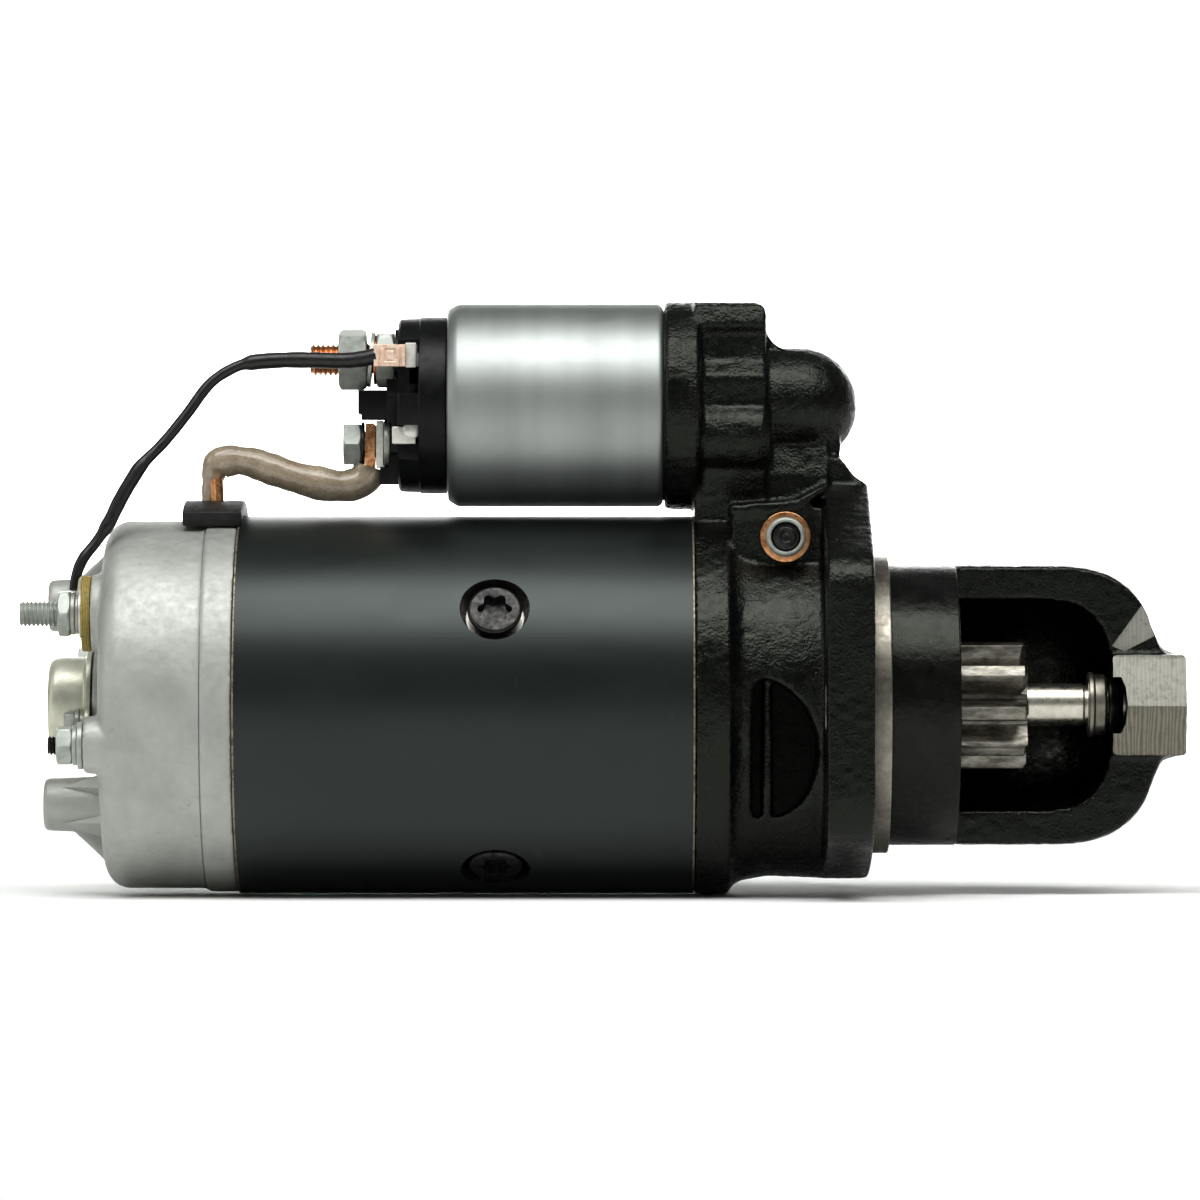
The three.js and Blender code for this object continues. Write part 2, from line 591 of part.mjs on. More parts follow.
function solenoidMount() {
  const round = rod(-60.9, -50, 30.5, { z: SOLENOID_Z });
  const side = [[15, 48], [22, 66], [24, 90], [21, 106], [15, 119.6]];
  const otherSide = side.map(([y, z]) => [-y, z]).reverse();
  const block = prismX([...side, ...otherSide], -51, -30);
  const dome = solid(new THREE.SphereGeometry(17.2, 16, 10).translate(-21, 0, SOLENOID_Z));
  const barrel = rod(-32, -21, 17.2, { z: SOLENOID_Z, sides: 18 });
  const neck = prismX([[-16, 45], [16, 45], [16, SOLENOID_Z], [-16, SOLENOID_Z]], -40, -21);
  const spine = prismY([
    [-24, 45], [-3, 45], [-3, 63], [-7.6, 72], [-6, 80], [-8, SOLENOID_Z], [-24, SOLENOID_Z],
  ], -14, 14);
  const pivot = box([-41, -PIVOT_FACE, 36], [-13, PIVOT_FACE, 58.9]);
  return [block, dome, barrel, neck, spine, pivot].reduce((sum, piece) => sum.add(piece), round);
}

// The cast pocket in the near side of the neck, with its upright rib.
function neckPocket() {
  const shape = new THREE.Shape();
  shape.moveTo(-35.3, 6).quadraticCurveTo(-34, 9, -30, 8).quadraticCurveTo(-16, 2, -16, -14);
  shape.quadraticCurveTo(-17, -30, -29, -33).lineTo(-35.3, -31);
  const pocket = prismY(curvePoints(shape), -62, -40.5);
  return pocket.subtract(box([-32, -47.6, -40], [-29, -38, 20]));
}

function leverCavity() {
  const low = box([-43, -24.2, 0], [-9, 24.2, 46]);
  const high = box([-44, -11, 40], [-12, 11, SOLENOID_Z - 3]);
  return low.add(high);
}

function solenoidBore() {
  const radius = 13.4;
  const bore = turned([
    [-61.5, 0], [-61.5, 15], [-48, 15], [-48, radius], [-21, radius], [-21, 0],
  ], { z: SOLENOID_Z, sides: 18 });
  return bore.add(solid(new THREE.SphereGeometry(radius, 16, 10).translate(-21, 0, SOLENOID_Z)));
}

// The nose boss's square near side, and the notch in it that shows the shaft's bearing.
function noseBoss() {
  return box([NOSE_FLOOR, BOSS_RIDGE - 0.4, -15.2], [NOSE_END - 0.4, 0, 15.2]);
}

function noseNotch() {
  return prismY([[70, -8.4], [75.2, -8.4], [76.5, -5.4], [77, 0], [76.5, 5.4], [75.2, 8.4], [70, 8.4]], -60, 0);
}

// The near side of the nose is cut back to a plane, and its boss is milled to a shallow V.
function windowCut() {
  const [near, far] = [-80, WINDOW_PLANE];
  const open = box([WINDOW_START, near, -60], [NOSE_FLOOR, far, 60]);
  const shoulder = 14.4;
  const cheek = -13.8;
  const end = prismX([
    [near, -60], [far, -60], [far, -shoulder], [cheek, -shoulder], [BOSS_RIDGE, -0.3], [cheek, shoulder],
    [far, shoulder], [far, 60], [near, 60],
  ], NOSE_FLOOR - 0.01, NOSE_END + 5);
  return open.add(end);
}

// The shaft end's bearing, and the wider recess in front of it.
function noseBearing() {
  const recessEnd = 77;
  const bearing = SHAFT_RADIUS + SHAFT_CLEARANCE;
  return turned([
    [NOSE_FLOOR - 1, 0], [NOSE_FLOOR - 1, 8.7], [recessEnd, 8.7], [recessEnd, bearing], [92, bearing], [92, 0],
  ], { sides: 12 });
}

function driveHousing() {
  let body = turned([
    [HOUSING_LEFT, 0], [HOUSING_LEFT, 56.7], [-41.7, 56.7], [-40.8, 54.4], [-38, 52.6], [-30, 51.4],
    [-10.7, NECK_RADIUS], [0, NECK_RADIUS], ...noseProfile(), [NOSE_END, 0],
  ], { sides: 32 });
  body = body.add(flangePlate()).add(solenoidMount()).add(noseBoss());
  body = body.subtract(turned([
    [-60, 0], [-60, 42], [-43, 42], [-42, 31], [-7, 31], [-5, NOSE_BORE], [WINDOW_START + 1, NOSE_BORE],
    [WINDOW_START + 1, 0],
  ]));
  body = body.subtract(noseCavity()).subtract(leverCavity()).subtract(solenoidBore());
  body = body.subtract(windowCut()).subtract(neckPocket());
  body = body.subtract(crossRod(PIVOT_X, PIVOT_Z, -40, 40, 4.2));
  body = body.subtract(noseBearing()).subtract(noseNotch());
  for (const angle of BOLT_ANGLES) {
    const [y, z] = around(BOLT_CIRCLE, angle);
    body = body.subtract(rod(-60, -37, BOLT_RADIUS + 0.1, { y, z, sides: 12 }));
  }
  return mesh('drive_housing', body, 'castPaint');
}

// ---------- solenoid, drawn about its own axis ----------
function solenoidCan() {
  return turned([
    [CAN_LEFT, 27.3], [CAN_LEFT + 0.6, 28.6], [CAN_LEFT + 3, CAN_RADIUS], [CAN_RIGHT - 2, CAN_RADIUS],
    [CAN_RIGHT - 0.6, CAN_RADIUS - 0.6], [CAN_RIGHT, CAN_RADIUS - 2], [CAN_RIGHT, 12.6],
    [CAN_RIGHT - 4, 12.6], [CAN_RIGHT - 4, 27.3],
  ], { sides: 32 });
}

function solenoidCap() {
  let shape = turned([
    [CAP_LEFT, 0], [CAP_LEFT, 25.2], [CAP_LEFT + 1, 26], [CAN_LEFT - GAP, CAP_RADIUS],
    [CAN_LEFT - GAP, 23.4], [-136.8, 23], [-136.8, 0],
  ]);
  const root = CAP_LEFT + 1; // each raised feature is sunk this far into the cap
  const connector = box([-152.4, -8, -1.9], [root, 8, 3.8]);
  const connectorBase = box([-143.7, -10, -4.6], [root, 10, 3.8]);
  const lowerPad = box([-144.4, -10, -24], [root, 10, -18.4]);
  const upperBase = rod(-141.3, root, 8.6, { z: STUD_HEIGHT, sides: 18 });
  const lowerBase = rod(-142.6, root, 7.4, { z: MOTOR_BOLT_HEIGHT, sides: 18 });
  for (const piece of [connector, connectorBase, lowerPad, upperBase, lowerBase]) shape = shape.add(piece);
  shape = shape.subtract(rod(-160, -130, 5.2, { z: STUD_HEIGHT, sides: 14 }));
  return shape.subtract(rod(-160, -130, 4.2, { z: MOTOR_BOLT_HEIGHT, sides: 14 }));
}

const PLUNGER_LEFT = -88;

function plunger() {
  const g = PLUNGER_GROOVE_X;
  const half = 3.9;
  return turned([
    [-66, 0], [-66, 7], [PLUNGER_LEFT, 7], [PLUNGER_LEFT, 11.4], [PLUNGER_LEFT + 0.6, 12], [-52, 12],
    [-52, 4.2], [g - half - 2.5, 4.2], [g - half - 2.5, 8], [g - half, 8], [g - half, 4.2],
    [g + half, 4.2], [g + half, 8], [g + half + 2.5, 8], [g + half + 2.5, 0],
  ], { sides: 18 });
}

function solenoid() {
  const group = new THREE.Group();
  group.position.z = SOLENOID_Z;
  group.add(mesh('solenoid_can', solenoidCan(), 'zinc'));
  group.add(mesh('solenoid_coil', ring(-117, -67, 13.6, 26.6), 'copper'));
  const core = turned([
    [CAN_LEFT + GAP, 3.1], [CAN_LEFT + GAP, 27], [-119.5, 27], [-119.5, 12], [-103.9, 12], [-103.9, 3.1],
  ], { sides: 18 });
  group.add(mesh('solenoid_core', core, 'steel'));
  group.add(mesh('solenoid_cap', solenoidCap(), 'blackPlastic'));
  group.add(mesh('plunger', plunger(), 'zinc'));
  group.add(mesh('return_spring', spring(-103.6, -66.3, 5.4, 1.6, 5), 'steel'));
  const bridge = rod(-129.6, -127.6, 20, { sides: 18 }).add(rod(-128, -105, 2.7, { sides: 12 }));
  group.add(mesh('contact_bridge', bridge, 'copper'));
  addTerminals(group);
  return group;
}

// A terminal's shank, with the hexagon head that the cap is moulded round.
function terminalShank(left, radius, place) {
  const head = rod(-136.5, -133.8, 6.5, { ...place, sides: 6 });
  return rod(left, -134.5, radius, { ...place, sides: 14 }).add(head);
}

function addTerminals(group) {
  const upper = { z: STUD_HEIGHT };
  const lower = { z: MOTOR_BOLT_HEIGHT };
  group.add(mesh('battery_stud', terminalShank(-166.8, 4.9, upper), 'copper'));
  group.add(mesh('battery_nut', nut(-158.4, -149.7, 9.4, 5.2, upper), 'zinc'));
  group.add(mesh('battery_stud_inner_nut', nut(-147.2, -141.6, 9.2, 5.2, upper), 'zinc'));
  const head = nut(-157, -151.6, 7.3, 0, { ...lower, turn: Math.PI / 6 });
  group.add(mesh('motor_terminal_bolt', head.add(terminalShank(-152, 3.9, lower)), 'zinc'));
  const lug = box([-150.6, -7, MOTOR_BOLT_HEIGHT - 5.2], [-142.9, 7, MOTOR_BOLT_HEIGHT + 6.6])
    .subtract(rod(-160, -130, 4.2, { ...lower, sides: 14 }));
  group.add(mesh('motor_lead_lug', lug, 'copper'));
  const tab = box([-144, TERMINAL_Y - 0.5, 8.9], [CAP_LEFT - GAP, TERMINAL_Y + 0.5, 15.1]);
  group.add(mesh('spade_tab', tab, 'zinc'));
}

// ---------- leads ----------
const SLEEVE_ROUTE = [
  [-196, 0, 67], [-194.6, 0, 71.6], [-190.5, -0.5, 73.2], [-185, -1, 72.7], [-179.5, -1.5, 70.9],
  [-173, -2, 68.6], [-167, -2, 67], [-161, -1.5, 65.6], [-156, -0.8, 65.4], [-152.4, 0, 66.2],
  [-150, 0, 68], [-149.2, 0, 70.2],
];
const JUMPER_ROUTE = [
  [-146.6, -16.5, 102.3], [-156.3, -16.4, 102.2], [-165.6, -16, 102.8], [-184.4, -15, 102],
  [-190.4, -15.2, 99.9], [-196.6, -16, 95.4], [-203, -18, 86.7], [-209.7, -20, 78.3],
  [-215.9, -22, 71.8], [-219.1, -23, 67], [-222.5, -24, 61], [-225.8, -25, 54.2],
  [-229.4, -26, 48.6], [-233.2, -27.3, 43.6], [-235.3, -28, 38.6],
];
const JUMPER_DIAMETER = 3.6;
const SLEEVE_DIAMETER = 9.2;

function motorLead() {
  const strip = box([-199.2, -1.6, 51.5], [-193.4, 1.6, 67]);
  const sleeve = swept(SLEEVE_ROUTE, SLEEVE_DIAMETER, { steps: 16, sides: 10 });
  return mesh('motor_lead', sleeve.add(strip), 'sleeve');
}

function leadGrommet() {
  const slab = prismX(sector(56.9, 61.2, 20 * DEG, Math.PI / 2), -204.3, -186.6);
  const plug = box([-200.6, -7.6, 51.2], [-188.5, 7.6, 59]);
  return mesh('lead_grommet', slab.add(plug).subtract(box([-199.6, -2, 40], [-193, 2, 70])), 'rubber');
}

function leads() {
  const group = new THREE.Group();
  group.add(motorLead());
  group.add(leadGrommet());
  const crimp = box([-146.2, TERMINAL_Y - 2.6, 98.9], [-141, TERMINAL_Y - 0.5 - GAP, 105.4]);
  group.add(mesh('jumper_terminal', crimp, 'copper'));
  const jumper = swept(JUMPER_ROUTE, JUMPER_DIAMETER, { steps: 20 });
  group.add(mesh('jumper_lead', jumper, 'rubber'));
  return group;
}

// ---------- assembly ----------
const starter = new THREE.Group();
starter.add(fieldFrame());
starter.add(poles());
starter.add(endCover());
starter.add(bearingCap());
starter.add(...CAP_SCREWS.map(capScrew));
starter.add(...BOLT_ANGLES.map(throughBolt));
starter.add(...BOLT_ANGLES.map(throughBoltNut));
starter.add(groundTerminal());
starter.add(brushPlate());
starter.add(brushes());
starter.add(armature());
starter.add(drive());
starter.add(shiftLever());
starter.add(leverPivot());
starter.add(driveHousing());
starter.add(solenoid());
starter.add(leads());

export default starter;
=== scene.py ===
import json
import math

import bmesh
import bpy
from mathutils import Matrix, Vector, noise


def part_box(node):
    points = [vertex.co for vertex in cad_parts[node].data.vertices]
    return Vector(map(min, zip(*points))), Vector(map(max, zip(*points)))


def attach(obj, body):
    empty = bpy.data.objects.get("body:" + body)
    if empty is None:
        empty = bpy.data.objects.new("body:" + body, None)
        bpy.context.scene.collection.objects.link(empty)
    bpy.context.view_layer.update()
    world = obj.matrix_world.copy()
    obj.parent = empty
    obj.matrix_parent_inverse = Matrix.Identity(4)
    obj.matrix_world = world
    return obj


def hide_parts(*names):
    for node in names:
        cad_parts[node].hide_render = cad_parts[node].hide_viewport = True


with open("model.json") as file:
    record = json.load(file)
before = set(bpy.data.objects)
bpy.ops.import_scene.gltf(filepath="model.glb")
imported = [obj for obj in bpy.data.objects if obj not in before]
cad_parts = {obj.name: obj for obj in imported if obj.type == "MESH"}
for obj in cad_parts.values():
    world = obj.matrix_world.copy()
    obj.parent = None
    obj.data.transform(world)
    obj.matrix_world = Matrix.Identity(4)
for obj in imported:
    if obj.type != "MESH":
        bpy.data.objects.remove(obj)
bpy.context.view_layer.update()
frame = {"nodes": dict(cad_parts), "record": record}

# Lengths here are millimetres, and every mesh is turned into metres as it is made.
MM = 0.001
TAU = 2 * math.pi


# ---------- places taken from the frame ----------
class Span:
    """A CAD node's box in millimetres."""

    def __init__(self, node):
        low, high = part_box(node)
        self.x0, self.y0, self.z0 = (v / MM for v in low)
        self.x1, self.y1, self.z1 = (v / MM for v in high)
        self.y = (self.y0 + self.y1) / 2
        self.z = (self.z0 + self.z1) / 2

    @property
    def at(self):
        return (self.y, self.z)


FRAME = Span("field_frame")
COVER = Span("commutator_end_cover")
HOUSING = Span("drive_housing")
CAN = Span("solenoid_can")
PINION = Span("pinion")
SHAFT = Span("armature_shaft")
COLLAR = Span("stop_collar")
STUD = Span("ground_stud")
BATTERY = Span("battery_stud")
MOTOR_BOLT = Span("motor_terminal_bolt")
PIVOT = Span("pivot_nut")
FRAME_RADIUS = FRAME.y1
SOLENOID_AT = (0.0, CAN.z)


def around(radius, degrees):
    """The (y, z) place at an angle measured from -Y towards +Z."""
    return (-radius * math.cos(math.radians(degrees)), radius * math.sin(math.radians(degrees)))


# ---------- mesh kit ----------
def mesh_object(name, vertices, faces):
    mesh = bpy.data.meshes.new(name)
    mesh.from_pydata([tuple(c * MM for c in v) for v in vertices], [], faces)
    mesh.validate()
    solid = bmesh.new()
    solid.from_mesh(mesh)
    bmesh.ops.recalc_face_normals(solid, faces=solid.faces)
    solid.to_mesh(mesh)
    solid.free()
    obj = bpy.data.objects.new(name, mesh)
    bpy.context.scene.collection.objects.link(obj)
    return obj


def strip(a, b, sides):
    """The faces between two rings of vertices, which start at a and at b."""
    return [[a + i, a + (i + 1) % sides, b + (i + 1) % sides, b + i] for i in range(sides)]


def turned(name, profile, at=(0, 0), sides=160):
    """A profile of (x, radius) turned about the line parallel to X through at.

    The profile ends on the axis, or it closes on itself.
    """
    vertices, rows = [], []
    for x, radius in profile:
        if radius == 0:
            rows.append([len(vertices)] * sides)
            vertices.append((x, *at))
            continue
        rows.append(list(range(len(vertices), len(vertices) + sides)))
        for i in range(sides):
            angle = TAU * i / sides
            vertices.append((x, at[0] + radius * math.cos(angle), at[1] + radius * math.sin(angle)))
    on_axis = profile[0][1] == 0 and profile[-1][1] == 0
    pairs = list(zip(rows, rows[1:])) + ([] if on_axis else [(rows[-1], rows[0])])
    faces = []
    for a, b in pairs:
        for i in range(sides):
            j = (i + 1) % sides
            corners = list(dict.fromkeys([a[i], a[j], b[j], b[i]]))
            if len(corners) > 2:
                faces.append(corners)
    return mesh_object(name, vertices, faces)


def ring(name, x0, x1, inner, outer, at=(0, 0), sides=96):
    return turned(name, [(x0, inner), (x0, outer), (x1, outer), (x1, inner)], at, sides)


def rod(name, x0, x1, radius, at=(0, 0), sides=64):
    return turned(name, [(x0, 0), (x0, radius), (x1, radius), (x1, 0)], at, sides)


def cross(obj, x, z):
    """Swings a piece turned about X so that it lies along Y, through (x, z). Its x values become y values."""
    obj.data.transform(Matrix.Translation((x * MM, 0, z * MM)) @ Matrix.Rotation(math.pi / 2, 4, "Z"))
    return obj


def prism(name, outline, low, high, axis="X"):
    """An outline of (y, z) points drawn out along X, or of (x, z) points drawn out along Y."""
    count = len(outline)
    if axis == "X":
        vertices = [(x, a, b) for x in (low, high) for a, b in outline]
    else:
        vertices = [(a, y, b) for y in (low, high) for a, b in outline]
    faces = [list(range(count)), list(range(count, 2 * count))]
    faces += strip(0, count, count)
    return mesh_object(name, vertices, faces)


def block(name, low, high):
    outline = [(low[1], low[2]), (high[1], low[2]), (high[1], high[2]), (low[1], high[2])]
    return prism(name, outline, low[0], high[0])


def applied(obj):
    """Makes the modifiers part of the mesh."""
    graph = bpy.context.evaluated_depsgraph_get()
    shaped = obj.evaluated_get(graph)
    obj.data = bpy.data.meshes.new_from_object(shaped, preserve_all_data_layers=True, depsgraph=graph)
    obj.modifiers.clear()
    return obj


def bevelled(obj, width, segments=3, angle=32):
    edge = obj.modifiers.new("edge", "BEVEL")
    edge.width = width * MM
    edge.segments = segments
    edge.limit_method = "ANGLE"
    edge.angle_limit = math.radians(angle)
    edge.use_clamp_overlap = True
    return applied(obj)


def combined(obj, others, operation):
    """Joins others to obj or cuts them from it, and deletes them. A cut face takes the cutter's material."""
    for other in others:
        step = obj.modifiers.new("step", "BOOLEAN")
        step.object = other
        step.operation = operation
        step.solver = "MANIFOLD"
        step.material_mode = "TRANSFER"
        applied(obj)
        bpy.data.objects.remove(other)
    return obj


def cut(obj, *others):
    return combined(obj, others, "DIFFERENCE")


def added(obj, *others):
    return combined(obj, others, "UNION")


def cast(obj, voxel, rounds, roughness=0.0, grain=0.6):
    """Softens a solid's edges as a casting's are, and roughens its skin by that many millimetres."""
    skin = obj.modifiers.new("skin", "REMESH")
    skin.mode = "VOXEL"
    skin.voxel_size = voxel * MM
    soft = obj.modifiers.new("soft", "SMOOTH")
    soft.factor = 0.5
    soft.iterations = rounds
    applied(obj)
    if roughness:
        normals = [vertex.normal.copy() for vertex in obj.data.vertices]
        for vertex, normal in zip(obj.data.vertices, normals):
            place = vertex.co / MM
            lift = noise.fractal(place * grain, 1.0, 2.0, 3) + 0.5 * noise.noise(place * 0.12)
            vertex.co += normal * (lift * roughness * MM)
    return obj


def nut(name, x0, x1, flats, bore, at, turn=0.0):
    """A hexagon nut or bolt head with rounded chamfers. With no bore it is a closed head."""
    sides = 96
    corner = flats / 2 / math.cos(math.pi / 6)
    drop = corner - flats / 2
    levels = [0, 0.25, 0.5, 0.75, 1]
    stations = [x0 + drop * 0.75 * s for s in levels] + [x1 - drop * 0.75 * s for s in reversed(levels)]
    reach = [corner - drop * 1.1 * (1 - s) for s in levels]
    reach += list(reversed(reach))
    rows, vertices = [], []

    def row(x, radius_at):
        rows.append(len(vertices))
        for i in range(sides):
            angle = TAU * i / sides
            radius = radius_at(angle)
            vertices.append((x, at[0] + radius * math.cos(angle), at[1] + radius * math.sin(angle)))

    def hexagon(angle):
        fold = (angle - turn) % (math.pi / 3) - math.pi / 6
        return flats / 2 / math.cos(fold)

    rim = max(bore * 1.12, 0.2)
    row(x0, lambda a: rim)
    for x, limit in zip(stations, reach):
        row(x, lambda a, limit=limit: min(hexagon(a), limit))
    row(x1, lambda a: rim)
    faces = []
    if bore:
        row(x1 - bore * 0.12, lambda a: bore)
        row(x0 + bore * 0.12, lambda a: bore)
    for k in range(len(rows) if bore else len(rows) - 1):
        a, b = rows[k], rows[(k + 1) % len(rows)]
        faces += strip(a, b, sides)
    if not bore:
        faces += [list(range(rows[0], rows[0] + sides)), list(range(rows[-1], rows[-1] + sides))]
    return mesh_object(name, vertices, faces)


def threaded(name, x0, x1, radius, pitch, at, sides=48):
    """A threaded rod with a chamfered end at x0."""
    depth = pitch * 0.58
    per_turn = 10
    count = max(4, round((x1 - x0) / pitch * per_turn))
    vertices = [(x0, *at)]
    for k in range(count + 1):
        x = x0 + (x1 - x0) * k / count
        for i in range(sides):
            angle = TAU * i / sides
            phase = (x / pitch - i / sides) % 1
            groove = min(1.0, 1.25 * (1 - abs(2 * phase - 1)))
            r = min(radius - depth * groove, radius - depth + (x - x0) * 0.9)
            vertices.append((x, at[0] + r * math.cos(angle), at[1] + r * math.sin(angle)))
    vertices.append((x1, *at))
    last = len(vertices) - 1
    faces = [[0, 1 + i, 1 + (i + 1) % sides] for i in range(sides)]
    for k in range(count):
        a, b = 1 + k * sides, 1 + (k + 1) * sides
        faces += strip(a, b, sides)
    tail = 1 + count * sides
    faces += [[last, tail + i, tail + (i + 1) % sides] for i in range(sides)]
    return mesh_object(name, vertices, faces)


def smooth_path(points, step):
    """Points about step apart on a Catmull-Rom curve through points."""
    knots = [Vector(p) for p in points]
    knots = [2 * knots[0] - knots[1], *knots, 2 * knots[-1] - knots[-2]]
    path = []
    for a, b, c, d in zip(knots, knots[1:], knots[2:], knots[3:]):
        pieces = max(2, round((c - b).length / step))
        for i in range(pieces):
            t = i / pieces
            path.append(0.5 * (2 * b + (c - a) * t + (2 * a - 5 * b + 4 * c - d) * t * t
                               + (3 * b - a - 3 * c + d) * t ** 3))
    path.append(knots[-2])
    return path


def tube(name, points, radius_at, step=0.8, sides=28):
    """A tube along a smooth curve. radius_at takes the distance run, the angle and the place."""
    path = smooth_path(points, step)
    vertices, faces = [], []
    side, run = None, 0.0
    for k, place in enumerate(path):
        ahead = (path[min(k + 1, len(path) - 1)] - path[max(k - 1, 0)]).normalized()
        if side is None:
            side = ahead.orthogonal().normalized()
        side = (side - ahead * side.dot(ahead)).normalized()
        up = ahead.cross(side)
        if k:
            run += (place - path[k - 1]).length
        for i in range(sides):
            angle = TAU * i / sides
            out = side * math.cos(angle) + up * math.sin(angle)
            vertices.append(tuple(place + out * radius_at(run, angle, place)))
    for k in range(len(path) - 1):
        a, b = k * sides, (k + 1) * sides
        faces += strip(a, b, sides)
    faces += [list(range(sides)), list(range(len(vertices) - sides, len(vertices)))]
    return mesh_object(name, vertices, faces)


def painted(obj, look):
    """Gives the whole of a solid one material."""
    obj.data.materials.clear()
    obj.data.materials.append(LOOKS[look])
    return obj


def piece(obj, look, body="root", nodes=(), crease=35):
    """Finishes a piece: its shading, material, body and the CAD nodes that it stands for.

    A piece that has its materials already keeps them.
    """
    obj.data.shade_smooth()
    obj.data.set_sharp_from_angle(angle=math.radians(crease))
    if not any(obj.data.materials):
        painted(obj, look)
    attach(obj, body)
    if nodes:
        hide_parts(*nodes)
    return obj


def flat_washer(name, x0, x1, inner, outer, place, sides, edge=0.2, look="zinc_plate"):
    piece(bevelled(ring(name, x0, x1, inner, outer, place, sides), edge), look)


# ---------- material kit ----------
LOOKS = {}


class Look:
    """A procedural material: a Principled shader, and textures in the object's own metres."""

    def __init__(self, name, metallic=0.0, **fixed):
        material = LOOKS[name] = bpy.data.materials.new(name)
        material.use_nodes = True
        self.tree = material.node_tree
        self.shader = self.tree.nodes["Principled BSDF"]
        self.shader.inputs["Metallic"].default_value = metallic
        for socket, value in fixed.items():
            self.shader.inputs[socket.replace("_", " ")].default_value = value
        self.coordinates = self.node("ShaderNodeTexCoord").outputs["Object"]
        self.height = None

    def node(self, kind, **settings):
        made = self.tree.nodes.new(kind)
        for key, value in settings.items():
            setattr(made, key, value)
        return made

    def link(self, source, target):
        self.tree.links.new(source, target)

    def place(self, stretch):
        mapping = self.node("ShaderNodeMapping")
        mapping.inputs["Scale"].default_value = stretch
        self.link(self.coordinates, mapping.inputs["Vector"])
        return mapping.outputs["Vector"]

    def noise(self, size, detail=4.0, rough=0.55, stretch=(1, 1, 1), warp=0.0):
        """Noise whose patches are about size millimetres across."""
        made = self.node("ShaderNodeTexNoise")
        made.inputs["Scale"].default_value = 1 / (size * MM)
        made.inputs["Detail"].default_value = detail
        made.inputs["Roughness"].default_value = rough
        made.inputs["Distortion"].default_value = warp
        self.link(self.place(stretch), made.inputs["Vector"])
        return made.outputs["Fac"]

    def cells(self, size, stretch=(1, 1, 1)):
        made = self.node("ShaderNodeTexVoronoi", feature="F1")
        made.inputs["Scale"].default_value = 1 / (size * MM)
        self.link(self.place(stretch), made.inputs["Vector"])
        return made.outputs["Distance"]

    def waves(self, size, warp, stretch=(1, 1, 1)):
        """Bands across X, about size millimetres apart."""
        made = self.node("ShaderNodeTexWave", bands_direction="X")
        made.inputs["Scale"].default_value = 0.31 / (size * MM)
        made.inputs["Distortion"].default_value = warp
        made.inputs["Detail"].default_value = 3
        self.link(self.place(stretch), made.inputs["Vector"])
        return made.outputs["Fac"]

    def ramp(self, source, low, high, at=(0.35, 0.65)):
        """Maps a texture to between two values or two colours."""
        made = self.node("ShaderNodeValToRGB")
        for element, value, where in zip(made.color_ramp.elements, (low, high), at):
            colour = (value,) * 3 if isinstance(value, (int, float)) else value
            element.position = where
            element.color = (*colour, 1)
        self.link(source, made.inputs["Fac"])
        return made.outputs["Color"]

    def mixed(self, a, b, share, mode="MIX"):
        made = self.node("ShaderNodeMix", data_type="RGBA", blend_type=mode)
        for socket, value in ((made.inputs[6], a), (made.inputs[7], b), (made.inputs[0], share)):
            if isinstance(value, tuple):
                socket.default_value = (*value, 1)
            elif isinstance(value, (int, float)):
                socket.default_value = value
            else:
                self.link(value, socket)
        return made.outputs[2]

    def colour(self, source):
        self.link(source, self.shader.inputs["Base Color"])
        return self

    def roughness(self, source):
        self.link(source, self.shader.inputs["Roughness"])
        return self

    def bump(self, source, depth):
        """Adds relief of about depth millimetres."""
        made = self.node("ShaderNodeBump")
        made.inputs["Strength"].default_value = 1.0
        made.inputs["Distance"].default_value = depth * MM
        self.link(source, made.inputs["Height"])
        if self.height:
            self.link(self.height, made.inputs["Normal"])
        self.height = made.outputs["Normal"]
        self.link(self.height, self.shader.inputs["Normal"])
        return self


def frame_paint():
    look = Look("frame_paint", Specular_IOR_Level=0.6, Specular_Tint=(0.89, 1.0, 0.95, 1))
    tone = look.ramp(look.noise(30, 5, 0.6), (0.005, 0.0065, 0.006), (0.008, 0.0105, 0.0095), (0.3, 0.7))
    scuff = look.ramp(look.noise(5, 6, 0.7, (1, 0.25, 0.25), 1.2), 0.0, 1.0, (0.66, 0.76))
    look.colour(look.mixed(tone, (0.030, 0.034, 0.033), scuff))
    smear = look.noise(22, 4, 0.6, (0.35, 1, 1), 0.8)
    look.roughness(look.ramp(smear, 0.33, 0.41, (0.3, 0.7)))
    look.bump(look.noise(0.7, 3, 0.6), 0.006)
    look.bump(look.noise(9, 2, 0.5), 0.03)


def cast_paint():
    look = Look("cast_paint", Specular_IOR_Level=0.34, Specular_Tint=(0.93, 1.0, 0.86, 1))
    dust = look.ramp(look.noise(3.2, 8, 0.75), 0.0, 1.0, (0.60, 0.78))
    look.colour(look.mixed((0.0025, 0.0028, 0.0025), (0.020, 0.020, 0.016), dust))
    look.roughness(look.ramp(look.noise(2.2, 7, 0.75), 0.13, 0.42))
    look.bump(look.noise(11, 2, 0.4), 0.34)
    smooth = look.ramp(look.noise(12, 3), 0.0, 0.8, (0.40, 0.60))
    look.bump(look.mixed(look.noise(0.8, 2, 0.5), (0.5, 0.5, 0.5), smooth), 0.36)


def gloss_black(name="gloss_black", shine=0.3, pale=0.007):
    look = Look(name, Specular_IOR_Level=shine, Specular_Tint=(0.95, 1.0, 0.86, 1))
    look.colour(look.ramp(look.noise(8, 4), 0.002, pale))
    look.roughness(look.ramp(look.noise(6, 5, 0.7), 0.14, 0.34))
    look.bump(look.noise(2.6, 5, 0.65), 0.16)
    look.bump(look.waves(0.5, 0.6), 0.003)


